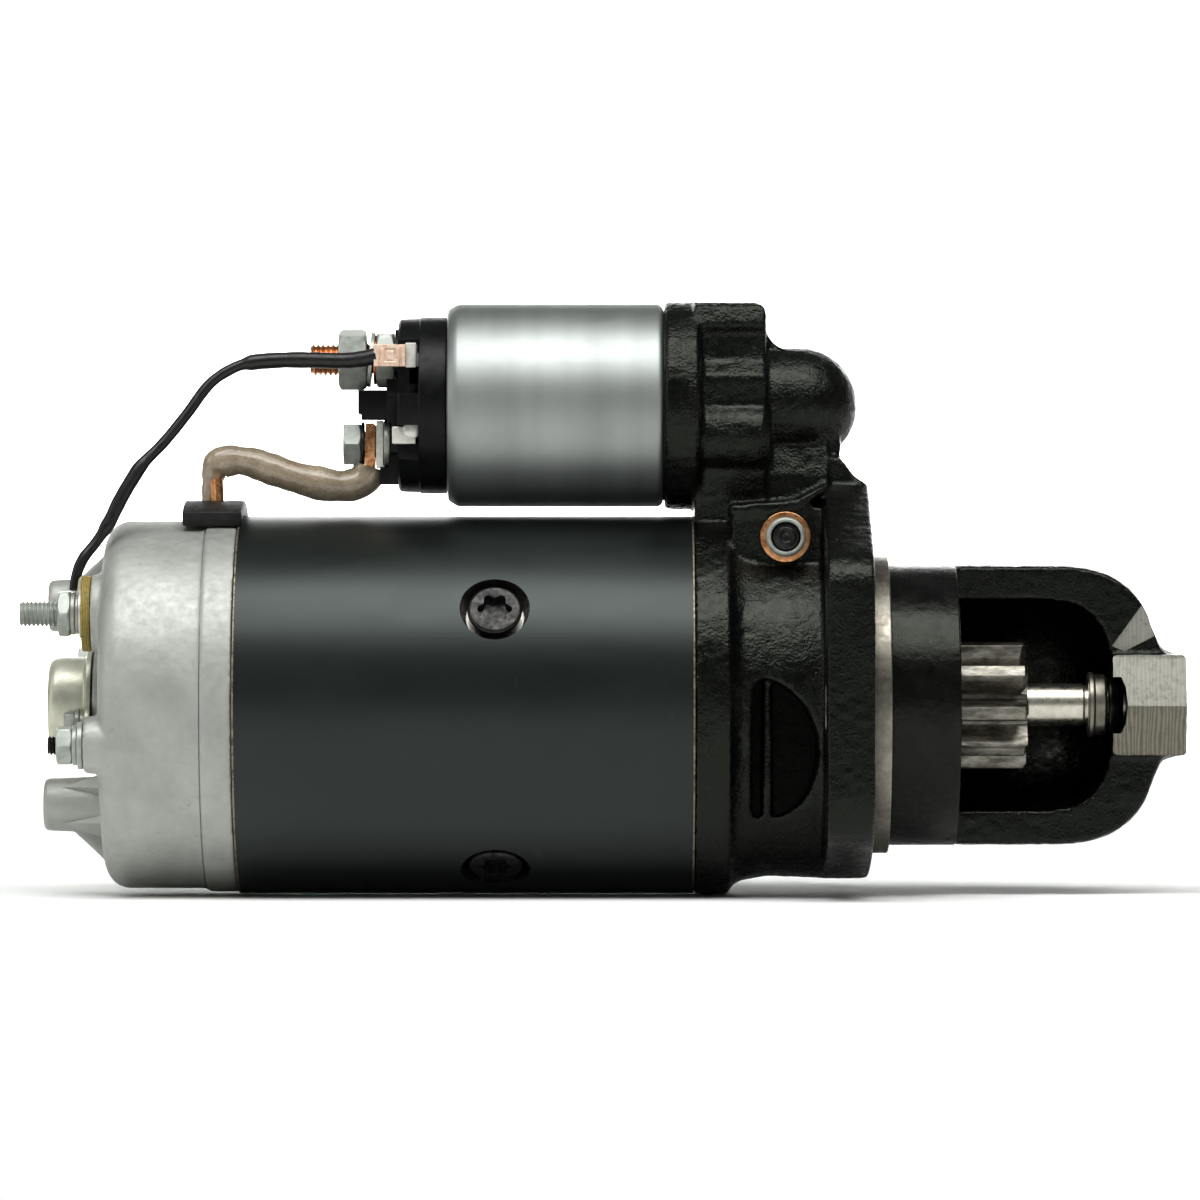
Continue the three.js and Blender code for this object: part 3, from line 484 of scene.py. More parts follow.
def cast_aluminium():
    look = Look("cast_aluminium", 0.55)
    blotch = look.ramp(look.noise(14, 6, 0.65), (0.37, 0.38, 0.355), (0.46, 0.47, 0.44), (0.3, 0.7))
    grime = look.ramp(look.noise(5, 7, 0.7, warp=0.6), 0.0, 0.75, (0.60, 0.78))
    look.colour(look.mixed(blotch, (0.27, 0.275, 0.24), grime))
    look.roughness(look.ramp(look.noise(2.5, 6, 0.7), 0.48, 0.64))
    look.bump(look.noise(0.9, 4, 0.7), 0.035)
    look.bump(look.noise(6, 3, 0.5), 0.05)


def cap_metal():
    look = Look("cap_metal", 0.6)
    look.colour(look.ramp(look.noise(7, 5), (0.54, 0.54, 0.44), (0.66, 0.66, 0.57)))
    look.roughness(look.ramp(look.noise(3, 6, 0.7, (1, 1, 1), 0.5), 0.34, 0.5))
    look.bump(look.noise(4, 4, 0.6), 0.05)


def zinc_can():
    look = Look("solenoid_zinc", 1.0)
    band = look.noise(10, 3, 0.5, (1, 0.05, 0.05))
    base = look.ramp(band, (0.335, 0.355, 0.345), (0.40, 0.42, 0.41), (0.3, 0.7))
    stain = look.ramp(look.noise(9, 7, 0.7, (0.4, 1, 1), 1.0), 0.0, 0.4, (0.6, 0.85))
    look.colour(look.mixed(base, (0.33, 0.32, 0.25), stain))
    wear = look.noise(7, 6, 0.7, (0.5, 1, 1), 0.6)
    look.roughness(look.ramp(wear, 0.48, 0.54, (0.3, 0.7)))
    look.bump(look.noise(0.5, 4, 0.7), 0.0015)
    look.bump(look.noise(18, 2, 0.5), 0.03)


def zinc_plate():
    look = Look("zinc_plate", 0.35)
    look.colour(look.ramp(look.noise(2.5, 4, 0.5), (0.33, 0.35, 0.32), (0.43, 0.45, 0.41)))
    look.roughness(look.ramp(look.noise(2.5, 4, 0.6), 0.30, 0.42))
    look.bump(look.noise(2.5, 3, 0.5), 0.01)


def machined_steel(name="machined_steel", dark=(0.30, 0.285, 0.255), pale=(0.47, 0.455, 0.42),
                   rough=(0.24, 0.42)):
    look = Look(name, 1.0)
    look.colour(look.ramp(look.noise(5, 6, 0.65, warp=0.4), dark, pale, (0.3, 0.7)))
    look.roughness(look.ramp(look.noise(1.6, 5, 0.7), *rough))
    look.bump(look.waves(0.35, 1.5), 0.012)


def milled_face(name="milled_face", dark=(0.39, 0.38, 0.335), pale=(0.445, 0.435, 0.395)):
    look = Look(name, 0.85)
    marks = look.waves(1.1, 9, (1, 0.15, 0.15))
    tone = look.ramp(marks, dark, pale, (0.2, 0.8))
    spots = look.ramp(look.noise(1.8, 7, 0.7), 0.0, 0.8, (0.55, 0.75))
    look.colour(look.mixed(tone, (0.13, 0.12, 0.10), spots))
    look.roughness(look.ramp(look.noise(2, 5, 0.7), 0.36, 0.54))
    look.bump(marks, 0.02)


def gear_steel():
    look = Look("gear_steel", 1.0, Coat_Weight=0.3, Coat_Roughness=0.15)
    look.colour(look.ramp(look.noise(2.4, 6, 0.7, (0.35, 1, 1)), (0.085, 0.078, 0.058), (0.33, 0.315, 0.28)))
    look.roughness(look.ramp(look.noise(1.5, 6, 0.7, (0.3, 1, 1)), 0.30, 0.48))
    look.bump(look.noise(0.8, 5, 0.7, (0.3, 1, 1)), 0.012)


def black_steel():
    look = Look("black_steel", 0.85)
    look.colour(look.ramp(look.noise(2, 6, 0.7), (0.02, 0.02, 0.021), (0.065, 0.063, 0.06)))
    look.roughness(look.ramp(look.noise(1.5, 5), 0.28, 0.5))
    look.bump(look.noise(0.9, 5, 0.7), 0.015)


def copper(name="terminal_copper", dark=(0.42, 0.18, 0.07), pale=(0.84, 0.48, 0.26), metallic=1.0):
    look = Look(name, metallic)
    look.colour(look.ramp(look.noise(2.2, 6, 0.7), dark, pale))
    look.roughness(look.ramp(look.noise(1.2, 5), 0.24, 0.42))
    look.bump(look.noise(1.2, 5, 0.7), 0.012)


def tinned():
    look = Look("tinned_steel", 0.35)
    look.colour(look.ramp(look.noise(1.6, 6, 0.7), (0.62, 0.59, 0.52), (0.80, 0.79, 0.74), (0.25, 0.6)))
    look.roughness(look.ramp(look.noise(1.6, 4), 0.30, 0.45))
    look.bump(look.noise(0.9, 4, 0.7), 0.01)


def lead_sleeve():
    look = Look("lead_sleeve", Coat_Weight=0.9, Coat_Roughness=0.1, Subsurface_Weight=0.1,
                Subsurface_Radius=(0.002, 0.0015, 0.001))
    tone = look.ramp(look.noise(7, 6, 0.65, warp=0.5), (0.27, 0.212, 0.145), (0.46, 0.385, 0.285), (0.3, 0.7))
    weave = look.ramp(look.cells(0.9, (1, 0.55, 1)), 0.6, 1.0, (0.1, 0.7))
    look.colour(look.mixed(tone, weave, 0.3, "MULTIPLY"))
    look.roughness(look.ramp(look.noise(3, 5), 0.24, 0.42))
    look.bump(look.noise(3.2, 4, 0.6), 0.45)
    look.bump(look.cells(0.9, (1, 0.55, 1)), 0.04)


def black_plastic():
    look = Look("black_plastic", Specular_IOR_Level=0.26)
    look.colour(look.ramp(look.noise(9, 5), (0.0015, 0.0018, 0.0018), (0.005, 0.006, 0.0055)))
    look.roughness(look.ramp(look.noise(3, 6, 0.7), 0.30, 0.46))
    look.bump(look.noise(0.35, 3, 0.6), 0.006)
    look.bump(look.noise(10, 2), 0.04)


def rubber():
    look = Look("rubber")
    look.colour(look.ramp(look.noise(4, 6, 0.7), (0.0035, 0.0035, 0.0035), (0.012, 0.012, 0.011)))
    look.roughness(look.ramp(look.noise(2.5, 6, 0.7), 0.42, 0.68))
    look.bump(look.noise(0.6, 5, 0.7), 0.06)


def heat_shrink():
    look = Look("black_heat_shrink", Coat_Weight=0.15, Coat_Roughness=0.2)
    look.colour(look.ramp(look.noise(3, 5), (0.0035, 0.0035, 0.003), (0.010, 0.010, 0.009)))
    look.roughness(look.ramp(look.noise(2, 5), 0.30, 0.5))
    look.bump(look.noise(1.4, 4, 0.6), 0.07)


def phenolic():
    look = Look("phenolic")
    layers = look.waves(0.5, 1.2)
    tone = look.ramp(layers, (0.200, 0.145, 0.032), (0.38, 0.30, 0.085), (0.2, 0.8))
    stain = look.ramp(look.noise(1.5, 7, 0.75), 0.0, 0.8, (0.5, 0.75))
    look.colour(look.mixed(tone, (0.12, 0.09, 0.03), stain))
    look.roughness(look.ramp(look.noise(1.5, 5), 0.5, 0.72))
    look.bump(layers, 0.06)


def coil_tape():
    look = Look("coil_tape", Coat_Weight=0.3, Coat_Roughness=0.3)
    turns = look.waves(6, 0.8)
    look.colour(look.ramp(turns, (0.16, 0.10, 0.05), (0.32, 0.22, 0.12), (0.2, 0.8)))
    look.roughness(look.ramp(look.noise(2, 5), 0.5, 0.75))
    look.bump(turns, 0.2)


def brush_carbon():
    look = Look("brush_carbon", 0.3)
    look.colour(look.ramp(look.noise(0.8, 7, 0.8), (0.02, 0.018, 0.017), (0.12, 0.085, 0.065)))
    look.roughness(look.ramp(look.noise(1, 5), 0.4, 0.6))
    look.bump(look.noise(0.5, 5, 0.8), 0.04)


def cut_edge():
    look = Look("cut_edge", 0.8)
    look.colour(look.ramp(look.noise(2.2, 7, 0.75), (0.10, 0.075, 0.05), (0.34, 0.30, 0.23), (0.35, 0.6)))
    look.roughness(look.ramp(look.noise(1.5, 5), 0.4, 0.65))
    look.bump(look.noise(0.8, 5), 0.05)


def all_looks():
    frame_paint()
    cast_paint()
    gloss_black()
    gloss_black("shaded_black", 0.08, 0.003)
    cast_aluminium()
    cap_metal()
    zinc_can()
    zinc_plate()
    machined_steel()
    machined_steel("collar_steel", (0.19, 0.175, 0.145), (0.36, 0.34, 0.295), (0.34, 0.5))
    machined_steel("polished_steel", (0.52, 0.49, 0.42), (0.70, 0.67, 0.60), (0.26, 0.38))
    milled_face()
    # a darker copy of milled_face: painted shade for the downward-facing lower facet of the nose boss's V
    milled_face("shaded_milled_face", (0.16, 0.15, 0.12), (0.24, 0.23, 0.19))
    gear_steel()
    black_steel()
    copper()
    copper("crimp_copper", (0.74, 0.52, 0.38), (0.94, 0.79, 0.68), 0.35)
    copper("enamelled_copper", (0.30, 0.10, 0.04), (0.48, 0.19, 0.08))
    tinned()
    lead_sleeve()
    black_plastic()
    rubber()
    heat_shrink()
    phenolic()
    coil_tape()
    brush_carbon()
    cut_edge()


def dress_cad_nodes():
    """Every CAD node gets its slot's material. A node that a finer piece replaces is hidden later, by
    piece().
    """
    for row in frame["record"]["subparts"]:
        painted(frame["nodes"][row["node"]], row["material_slot"])


# ---------- field frame ----------
POLE_ANGLES = (31, 121, 211, 301)
POLE_X = (Span("pole_screw_1").x0 + Span("pole_screw_1").x1) / 2


def field_frame():
    """The painted tube with its four screw recesses, and the bare metal at its two cut ends."""
    wall = 6
    barrel = ring("frame_tube", FRAME.x0, FRAME.x1, FRAME_RADIUS - wall, FRAME_RADIUS, sides=256)
    bevelled(barrel, 0.5, 2)
    painted(barrel, "frame_paint")
    sinks = []
    depth = -(FRAME_RADIUS - 1.9)
    for angle in POLE_ANGLES:
        sink = turned("sink", [
            (-70, 0), (-70, 10.3), (depth - 0.4, 10.3), (depth + 3.6, 8.6), (-45, 8.6), (-45, 0)], sides=72)
        cross(sink, POLE_X, 0)
        sink.data.transform(Matrix.Rotation(-math.radians(angle), 4, "X"))
        painted(sink, "black_steel")
        sinks.append(sink)
    cut(barrel, *sinks)
    piece(barrel, "frame_paint", nodes=["field_frame"], crease=30)
    for number, x, inward in ((1, FRAME.x0, 1), (2, FRAME.x1, -1)):
        edge = ring(f"frame_edge_{number}", x - inward * 0.15, x + inward * 0.5, FRAME_RADIUS - 5,
                    FRAME_RADIUS + 0.05, sides=256)
        piece(bevelled(edge, 0.15, 1), "cut_edge")


def lobed_outline(radius, depth, lobes=6, steps=10):
    """A rounded star, as the socket of a star-headed screw."""
    outline = []
    for i in range(lobes * steps):
        angle = TAU * i / (lobes * steps)
        reach = radius - depth * (0.5 - 0.5 * math.cos(lobes * angle))
        outline.append((reach * math.cos(angle), reach * math.sin(angle)))
    return outline


def pole_screw(number, angle):
    """A countersunk screw with a star socket, at an angle from -Y towards +Z."""
    face = -(FRAME_RADIUS - 0.7)
    head = turned(f"pole_screw_head_{number}", [
        (face, 0), (face, 7.2), (face + 0.5, 7.95), (face + 1.2, 8.05), (face + 5.5, 4.2), (-41, 4.2),
        (-41, 0)], sides=72)
    socket = prism("socket", lobed_outline(5.1, 1.35), face - 1, face + 3.4)
    cut(head, socket)
    bevelled(head, 0.18, 2)
    cross(head, POLE_X, 0)
    head.data.transform(Matrix.Rotation(-math.radians(angle), 4, "X"))
    piece(head, "black_steel", nodes=[f"pole_screw_{number}"])


# ---------- commutator end ----------
BOLT_ANGLES = (-14, 166)
BOLT_CIRCLE = 47
SUPPORT_BOSSES = ((-9, -29.7), (9, 29.6))
COVER_FLOOR = -227.7
COVER_RADIUS = 55
CAP_SCREWS = ((-14.6, -4.4), (14.6, 4.4))


def arc(centre, radius, start, end, steps=8):
    """Points of (x, r) on an arc between two angles in degrees."""
    angles = [math.radians(start + (end - start) * i / steps) for i in range(steps + 1)]
    return [(centre[0] + radius * math.cos(a), centre[1] + radius * math.sin(a)) for a in angles]


def cover_shell():
    """The cast end cover with its bosses, gussets and bores."""
    corner = 7
    centre = (COVER_FLOOR + corner, COVER_RADIUS - corner)
    shell = turned("end_cover", [
        (COVER.x1, 50), (COVER.x1, 56), (-196.8, 56), (-197.4, 55.3), (-198.2, COVER_RADIUS),
        *arc(centre, corner, 90, 180), (COVER_FLOOR, 18.2), (-231.3, 17.2), (-231.6, 16.6), (-231.6, 6.3),
        (-217, 6.3), (-217, 12), (-222.7, 14), (-222.7, 47), (-219.7, 50)], sides=200)
    parts, gussets = [], []
    for angle in BOLT_ANGLES:
        parts.append(turned("bolt_boss", [(-231.7, 0), (-231.7, 8.3), (-227, 8.7), (-214, 9.2), (-214, 0)],
                            around(BOLT_CIRCLE - 0.6, angle), 72))
    parts.append(turned("stud_boss", [(-230.6, 0), (-230.6, 11.4), (-224, 12), (-224, 0)], STUD.at, 72))
    for y, z in SUPPORT_BOSSES:
        out = 1 if z > 0 else -1
        parts.append(turned("support", [
            (-246, 0), (-246, 7), (-244.9, 7.8), (-230, 8.4), (-223, 8.8), (-223, 0)], (y, z), 72))
        for dy, dz in ((-6, 5.2), (-6, -5.4), (6, 5.2), (6, -5.4)):
            profile = [(-240.5, 0), (-226, 5), (-223, 5), (-223, 0)]
            gussets.append(turned("gusset", profile, (y + dy, z + dz), 4))
        outline = [(-238, z + out * 7), (-223, z + out * 21), (-223, z)]
        parts.append(prism("brace", outline, y - 3.4, y + 3.4, "Y"))
    added(shell, *parts)
    bores = [rod("bore", -240, -215, 3.4, (y, z)) for y, z in (around(BOLT_CIRCLE, a) for a in BOLT_ANGLES)]
    bores += [rod("bore", -240, -220, 4.4, STUD.at)]
    bores += [turned("bore", [(-247, 0), (-247, 4), (-245.6, 3.3), (-236, 3.3), (-236, 0)], place, 40)
              for place in SUPPORT_BOSSES]
    bores.append(block("lead_slot", (-201, -8, 44), (-180, 8, 62)))
    bores.append(ring("parting_line", -197.7, -197.3, 54.7, 57, sides=200))
    cast(shell, 0.7, 3, 0.05, 0.5)
    added(shell, *gussets)
    cut(shell, *bores)
    piece(shell, "cast_aluminium", nodes=["commutator_end_cover"], crease=50)


def bearing_cap():
    """The pressed dome over the rear bearing, with two lobes for its screws."""
    outer = 14.25
    cap = turned("bearing_dome", [
        (-245.7, 0), (-245.5, 6), (-245.1, 10.5), *arc((-242.2, 11.2), 2.9, 170, 90, 6),
        (-241, outer - 0.05), (-234.6, outer), (-233.9, outer + 0.4), (-233.3, 17), (-232, 17),
        (-231.8, 12.9), (-243.6, 12.6), (-243.6, 0)], sides=128)
    for y, z in CAP_SCREWS:
        lobe = rod("lobe", -233.3, -232, 4.8, (y * 1.12, z * 1.12))
        added(cap, lobe)
    cut(cap, rod("bowl", -243.4, -231.5, 12.7))
    bevelled(cap, 0.35, 2)
    piece(cap, "cap_metal", nodes=["bearing_cap"], crease=40)
    seal = block("cap_seal", (-235.6, -13.5, -4.8), (-233.4, -10, -1.6))
    piece(bevelled(seal, 0.3), "rubber")


def cap_screw(number, place):
    """A hexagon head with a plain and a spring washer."""
    y, z = place
    spot = (y * 1.16, z * 1.16)
    head = nut(f"cap_screw_head_{number}", -239.6, -236.4, 5.6, 0, spot, 0.2)
    piece(head, "zinc_plate", nodes=[f"cap_screw_{number}"])
    flat_washer(f"cap_screw_washer_{number}", -236.3, -235, 1.8, 4.1, spot, 48)
    flat_washer(f"cap_screw_spring_{number}", -234.9, -233.4, 1.8, 3.5, spot, 48)


def through_bolt(number, angle):
    """A long bolt's threaded end with its nut and two washers."""
    place = around(BOLT_CIRCLE, angle)
    span = Span(f"through_bolt_{number}")
    bolt = threaded(f"through_bolt_end_{number}", span.x0, -226, 2.95, 1.0, place)
    added(bolt, rod("shank", -226.5, span.x1, 2.8, place))
    piece(bolt, "black_steel", nodes=[f"through_bolt_{number}"], crease=60)
    hexagon = nut(f"bolt_nut_{number}", -239.7, -235.1, 10.6, 3.05, place, 0.12)
    piece(hexagon, "zinc_plate", nodes=[f"through_bolt_nut_{number}"])
    for name, x0, x1, radius in (("lock", -235, -233.6, 5.9), ("plain", -233.5, -231.9, 7)):
        flat_washer(f"bolt_{name}_washer_{number}", x0, x1, 3.1, radius, place, 72, 0.25)


def ground_terminal():
    """The stud on the end cover, with the jumper lead's eyelet held under its nut."""
    place = STUD.at
    stud = threaded("ground_stud_thread", STUD.x0, -226, 3.95, 1.25, place, 64)
    piece(stud, "zinc_plate", nodes=["ground_stud"], crease=60)
    hexagon = nut("ground_hex_nut", -240.4, -236.8, 13, 4.1, place, 0.05)
    piece(hexagon, "zinc_plate", nodes=["ground_nut"])
    flat_washer("ground_washer_1", -236.7, -235.4, 4.2, 6.3, place, 96, 0.3)
    flat_washer("ground_washer_2", -235.3, -234.3, 4.2, 6.1, place, 96, 0.3)
    eyelet = ring("jumper_eyelet", -234.2, -233.4, 4.2, 7.2, place, 72)
    y, z = place
    neck = tube("eyelet_neck", [(-233.9, y, z + 5.5), (-234.2, y, z + 8.5), (-235, y, z + 11.2)],
                lambda run, angle, at: 2.0 - 0.5 * abs(math.sin(angle)))
    added(eyelet, neck)
    piece(bevelled(eyelet, 0.15, 1), "tinned_steel", nodes=["ring_terminal"])
    board = ring("phenolic_washer", -233.3, -230.7, 4.3, 11.2, place, 128)
    piece(bevelled(board, 0.35), "phenolic", nodes=["insulating_washer"])


# ---------- drive housing ----------
NECK = 52
PILOT = 44.5
NOSE = 42.1
WINDOW_PLANE = -8
NOSE_FLOOR = 72.8
SHAFT_END_RADIUS = 6.3
SHAFT_BORE = SHAFT_END_RADIUS + 0.3
POCKET_FLOOR = -35.5
PIVOT_X = (PIVOT.x0 + PIVOT.x1) / 2
PIVOT_Z = PIVOT.z
PIVOT_FACE = 30


def bezier(a, b, c, steps=10):
    """Points on a quadratic curve from a to c with control point b."""
    return [tuple((1 - t) ** 2 * p + 2 * t * (1 - t) * q + t * t * r for p, q, r in zip(a, b, c))
            for t in (i / steps for i in range(steps + 1))]


def nose_outline():
    """The nose's profile of (x, radius), from its parallel part to the boss at its tip."""
    return [(58, NOSE - 0.2), *bezier((58, NOSE - 0.2), (80, 41.5), (85.1, 23.8))[1:], (87.6, 18.2),
            *bezier((87.6, 18.2), (88.5, 16), (93.6, 15.5))[1:], (HOUSING.x1, 13), (HOUSING.x1, 0)]


def flange_outline():
    """The mounting flange seen along the shaft: a peak, two ears and a round foot."""
    top, ear, low = 66, HOUSING.y1, -40
    half = [(0, top), (9, top), *bezier((9, top), (12, top), (16, 64.6), 4)[1:],
            *bezier((60, 46.5), (ear, 42.5), (ear, 34), 6), *bezier((ear, -26), (ear, low), (54, low - 2), 6),
            *bezier((54, low - 2), (28, -NECK), (0, -NECK), 8)[1:]]
    return half + [(-y, z) for y, z in reversed(half[1:-1])]


def housing_shells():
    """The solids that the casting is made of."""
    body = turned("drive_casting", [
        (-52, 0), (-52, 56.7), (-42.3, 56.7), (-41.6, 56), (-40.8, 54.4), (-38, 52.7), (-30, 51.3),
        (-10.7, NECK), (-0.2, NECK), (-0.2, NOSE - 1.4), (26, NOSE - 1.4), (26.2, NOSE - 0.1),
        *nose_outline()])
    flange = prism("flange", flange_outline(), -14, -0.1)
    plate = turned("plate", [(-60.8, 0), (-60.8, 30.5), (-60.2, 31.1), (-50.8, 31.1), (-50, 28), (-50, 0)],
                   SOLENOID_AT, 128)
    side = [(15, 46), (17, 62), (20, 70), (21, 90), (21.5, 98), (17, 103), (16.5, 111), (19, 113), (17, 119),
            (14, 120.1)]
    carrier = prism("carrier", side + [(-y, z) for y, z in reversed(side)], -52, -30.6)
    dome = turned("dome", [
        (-34, 0), (-34, 17.2), (-20.3, 17.2), *arc((-20.3, 0), 17.2, 90, 0, 10)[1:-1], (-3.1, 0)],
        SOLENOID_AT, 96)
    fillet = prism("fillet", [
        (-32, 104), (-25.6, 106.6), (-27.6, 107.8), (-29.2, 109.4), (-30.2, 111.8), (-32, 113)], -6, 6, "Y")
    lobe = [(-54, 0), (-54, 10.6), (-31.5, 10.6), (-29.4, 8), (-29.4, 0)]
    lobes = [turned("lobe", lobe, (y, CAN.z - 9.6), 72) for y in (-15, 15)]
    shoulder = prism("shoulder", [
        (-15.5, 46), (15.5, 46), (15.5, 68), (11, 82), (-11, 82), (-15.5, 68)], -40, -12)
    neck = prism("neck", [
        (-40, 46), (-8, 46), (-8, 60), (-9.4, 70), (-8, 78), (-10, 84), (-40, 84)], -10, 10, "Y")
    foot = prism("foot", [(-14, 50), (-0.4, 50), (-0.4, 66), (-4, 68), (-8.6, 74), (-14, 74)], -13, 13, "Y")
    pivot = prism("pivot", [(-41, 36), (-13, 36), (-13, 57), (-15, 58.9), (-41, 58.9)],
                  -PIVOT_FACE, PIVOT_FACE, "Y")
    ledge = prism("ledge", [
        (-41.6, 56.6), (-30, 56.8), (-20, 58.6), (-13, 64), (-13, 66), (-22, 61), (-41.6, 59.6)],
        -PIVOT_FACE - 0.9, PIVOT_FACE + 0.9, "Y")
    boss = cross(rod("boss", -PIVOT_FACE - 0.2, PIVOT_FACE + 0.2, 8.4), PIVOT_X, PIVOT_Z)
    end = block("end", (NOSE_FLOOR, -18.4, -15.2), (HOUSING.x1 - 0.4, 0, 15.2))
    return body, [flange, plate, carrier, dome, fillet, *lobes, shoulder, neck, foot, pivot, ledge, boss, end]


def housing_hollows():
    """What is cored out of the casting: the drive's space, the solenoid's, and the open side of the nose."""
    main = turned("main", [(-60, 0), (-60, 43), (-43, 42), (-42, 31), (-7, 31), (-5, 28), (27, 28), (27, 0)])
    cup = turned("cup", [
        (25.5, 0), (25.5, 32.3), (54, 32.3), *bezier((54, 32.3), (71, 32.3), (NOSE_FLOOR, 14))[1:],
        (NOSE_FLOOR, 0)])
    low = block("low", (-43, -24.2, 0), (-9, 24.2, 46))
    high = block("high", (-44, -11, 40), (-12, 11, CAN.z - 3))
    bore = turned("bore", [
        (-62, 0), (-62, 15), (-48, 15), (-48, 13.4), (-21, 13.4), (-12, 9.9), (-7.6, 0)], SOLENOID_AT, 48)
    window = block("window", (26.4, -80, -60), (NOSE_FLOOR, WINDOW_PLANE, 60))
    shoulders = [block("shoulder", (NOSE_FLOOR - 1, -80, bottom), (100, WINDOW_PLANE, top))
                 for bottom, top in ((-60, -15), (15, 60))]
    corner = prism("corner", [*arc((-34.1, 116.6), 3.5, 0, 90, 6), (-34.1, 122), (-28, 122), (-28, 116.6)],
                   -20, 20, "Y")
    return [main, cup, low, high, bore, window, *shoulders, pocket(0, POCKET_FLOOR), corner]


def pocket(inset, floor):
    """The cored pocket in the neck, with the slim rib that stands in it."""
    outline = [(-35.3, 5), *bezier((-35.3, 5), (-34, 9), (-30, 8), 5)[1:],
               *bezier((-30, 8), (-16, 2), (-16, -14), 8)[1:],
               *bezier((-16, -14), (-17, -30), (-29, -33), 8)[1:],
               *bezier((-29, -33), (-34, -34.5), (-35.3, -31), 5)[1:]]
    middle = Vector((-26.5, -13))
    drawn_in = [middle + (Vector(p) - middle) * (1 - inset / (Vector(p) - middle).length) for p in outline]
    hollow = prism("pocket", [tuple(p) for p in drawn_in], -62, floor, "Y")
    rib = prism("rib", [
        (-32.4 - inset, -40), (-29.4 + inset, -40), (-29.7 + inset, 14), (-32 - inset, 14)],
        -46 - inset, floor + 1, "Y")
    return cut(hollow, rib)


def milled_cutters():
    """What is cut after casting: the nose boss's V and flat, the shaft's seat, and the drilled holes.

    The floor of the neck's pocket goes half a millimetre deeper, in the black of its shade.
    """
    near, cheek, ridge = -60, -13.6, -18
    upper = prism("vee", [
        (near, -0.3), (ridge, -0.3), (cheek, 14.4), (cheek, 15.4), (near, 15.4)], 72, 100)
    lower = prism("vee", [
        (near, -0.3), (near, -15.4), (cheek, -15.4), (cheek, -14.4), (ridge, -0.3)], 72, 100)
    flat = prism("flat", [(72.9, 17.6), (82.4, 30.6), (90, 24), (85, 20.2), (76.6, 16)],
                 near, WINDOW_PLANE + 0.5, "Y")
    notch = prism("notch", [
        (70, -8.4), (75.2, -8.4), (76.5, -5.4), (77, 0), (76.5, 5.4), (75.2, 8.4), (70, 8.4)], near, 0, "Y")
    painted(notch, "gloss_black")
    recess = turned("recess", [
        (NOSE_FLOOR - 2, 0), (NOSE_FLOOR - 2, 8.9), (77, 8.9), (77, SHAFT_BORE), (92, SHAFT_BORE), (92, 0)],
        sides=64)
    painted(recess, "gloss_black")
    well = painted(pocket(0.5, POCKET_FLOOR + 0.5), "shaded_black")
    ears = [rod("ear_hole", -14.2, 5, 6.5, (side * 57, 0)) for side in (-1, 1)]
    hole = cross(rod("pivot_hole", -40, 40, 4.2), PIVOT_X, PIVOT_Z)
    for cutter in (upper, flat, *ears, hole):
        painted(cutter, "milled_face")
    # the lower facet takes the darker copy of the milled face, as painted shade on the side that faces down
    painted(lower, "shaded_milled_face")
    return [upper, lower, flat, notch, recess, well, *ears, hole]


def drive_housing():
    """The casting, with the turned pilot collar and the ring behind the nose window."""
    casting, shells = housing_shells()
    added(casting, *shells)
    cut(casting, *housing_hollows())
    cast(casting, 0.8, 7, 0.14, 0.4)
    painted(casting, "cast_paint")
    cut(casting, *milled_cutters())
    piece(casting, "cast_paint", nodes=["drive_housing"], crease=48)
    pilot = ring("pilot_collar", 0, 6, 30, PILOT, sides=256)
    piece(bevelled(pilot, 0.5), "collar_steel")
    nose_ring = turned("nose_ring", [(0.5, 27.9), (0.5, NOSE), (26.2, NOSE), (26.2, 27.9)], sides=256)
    piece(bevelled(nose_ring, 0.4), "gloss_black")


def lever_pivot():
    """The shift lever's pivot pin, with its ring nut and copper washer."""
    face = -PIVOT_FACE
    washer = cross(ring("pivot_copper_washer", face - 1.7, face - 0.2, 4.2, 7.5, sides=96), PIVOT_X, PIVOT_Z)
    piece(bevelled(washer, 0.25), "terminal_copper", nodes=["pivot_washer"])
    collar = turned("pivot_ring", [
        (face - 5.9, 4.5), (face - 5.9, 5.2), (face - 5.3, 5.8), (face - 1.8, 5.9), (face - 1.8, 4.3),
        (face - 4.4, 4.3)])
    piece(bevelled(cross(collar, PIVOT_X, PIVOT_Z), 0.2), "zinc_plate", nodes=["pivot_nut"])
    bolt = turned("pivot_pin", [
        (face - 4.6, 0), (face - 4.6, 1.4), (face - 5.2, 1.8), (face - 5.2, 2.6), (face - 4.9, 3),
        (face - 4.9, 3.9), (33, 3.9), (33, 0)])
    cross(bolt, PIVOT_X, PIVOT_Z)
    head = cross(nut("pivot_head", PIVOT_FACE + 0.3, PIVOT_FACE + 5, 12, 0, (0, 0)), PIVOT_X, PIVOT_Z)
    added(bolt, head)
    piece(bevelled(bolt, 0.15, 1), "black_steel", nodes=["pivot_bolt"])


# ---------- solenoid ----------
def solenoid():
    """The plated can, drawn in at its rear edge."""
    outer = CAN.z1 - CAN.z + 0.35
    can = turned("solenoid_shell", [
        (CAN.x0, 27.3), (CAN.x0, 28.2), (CAN.x0 + 0.5, 28.9), (CAN.x0 + 2.6, outer - 0.25),
        (CAN.x0 + 3.4, outer), *arc((CAN.x1 - 2, outer - 2), 2, 90, 10, 6), (CAN.x1, 12.6),
        (CAN.x1 - 4, 12.6), (CAN.x1 - 4, 27.3)],
        SOLENOID_AT, 256)
    piece(bevelled(can, 0.2, 2, 40), "solenoid_zinc", nodes=["solenoid_can"], crease=40)
    seal = ring("can_seal", CAN.x1 + 0.05, -60.7, 20, 28.4, SOLENOID_AT, 128)
    piece(seal, "rubber")


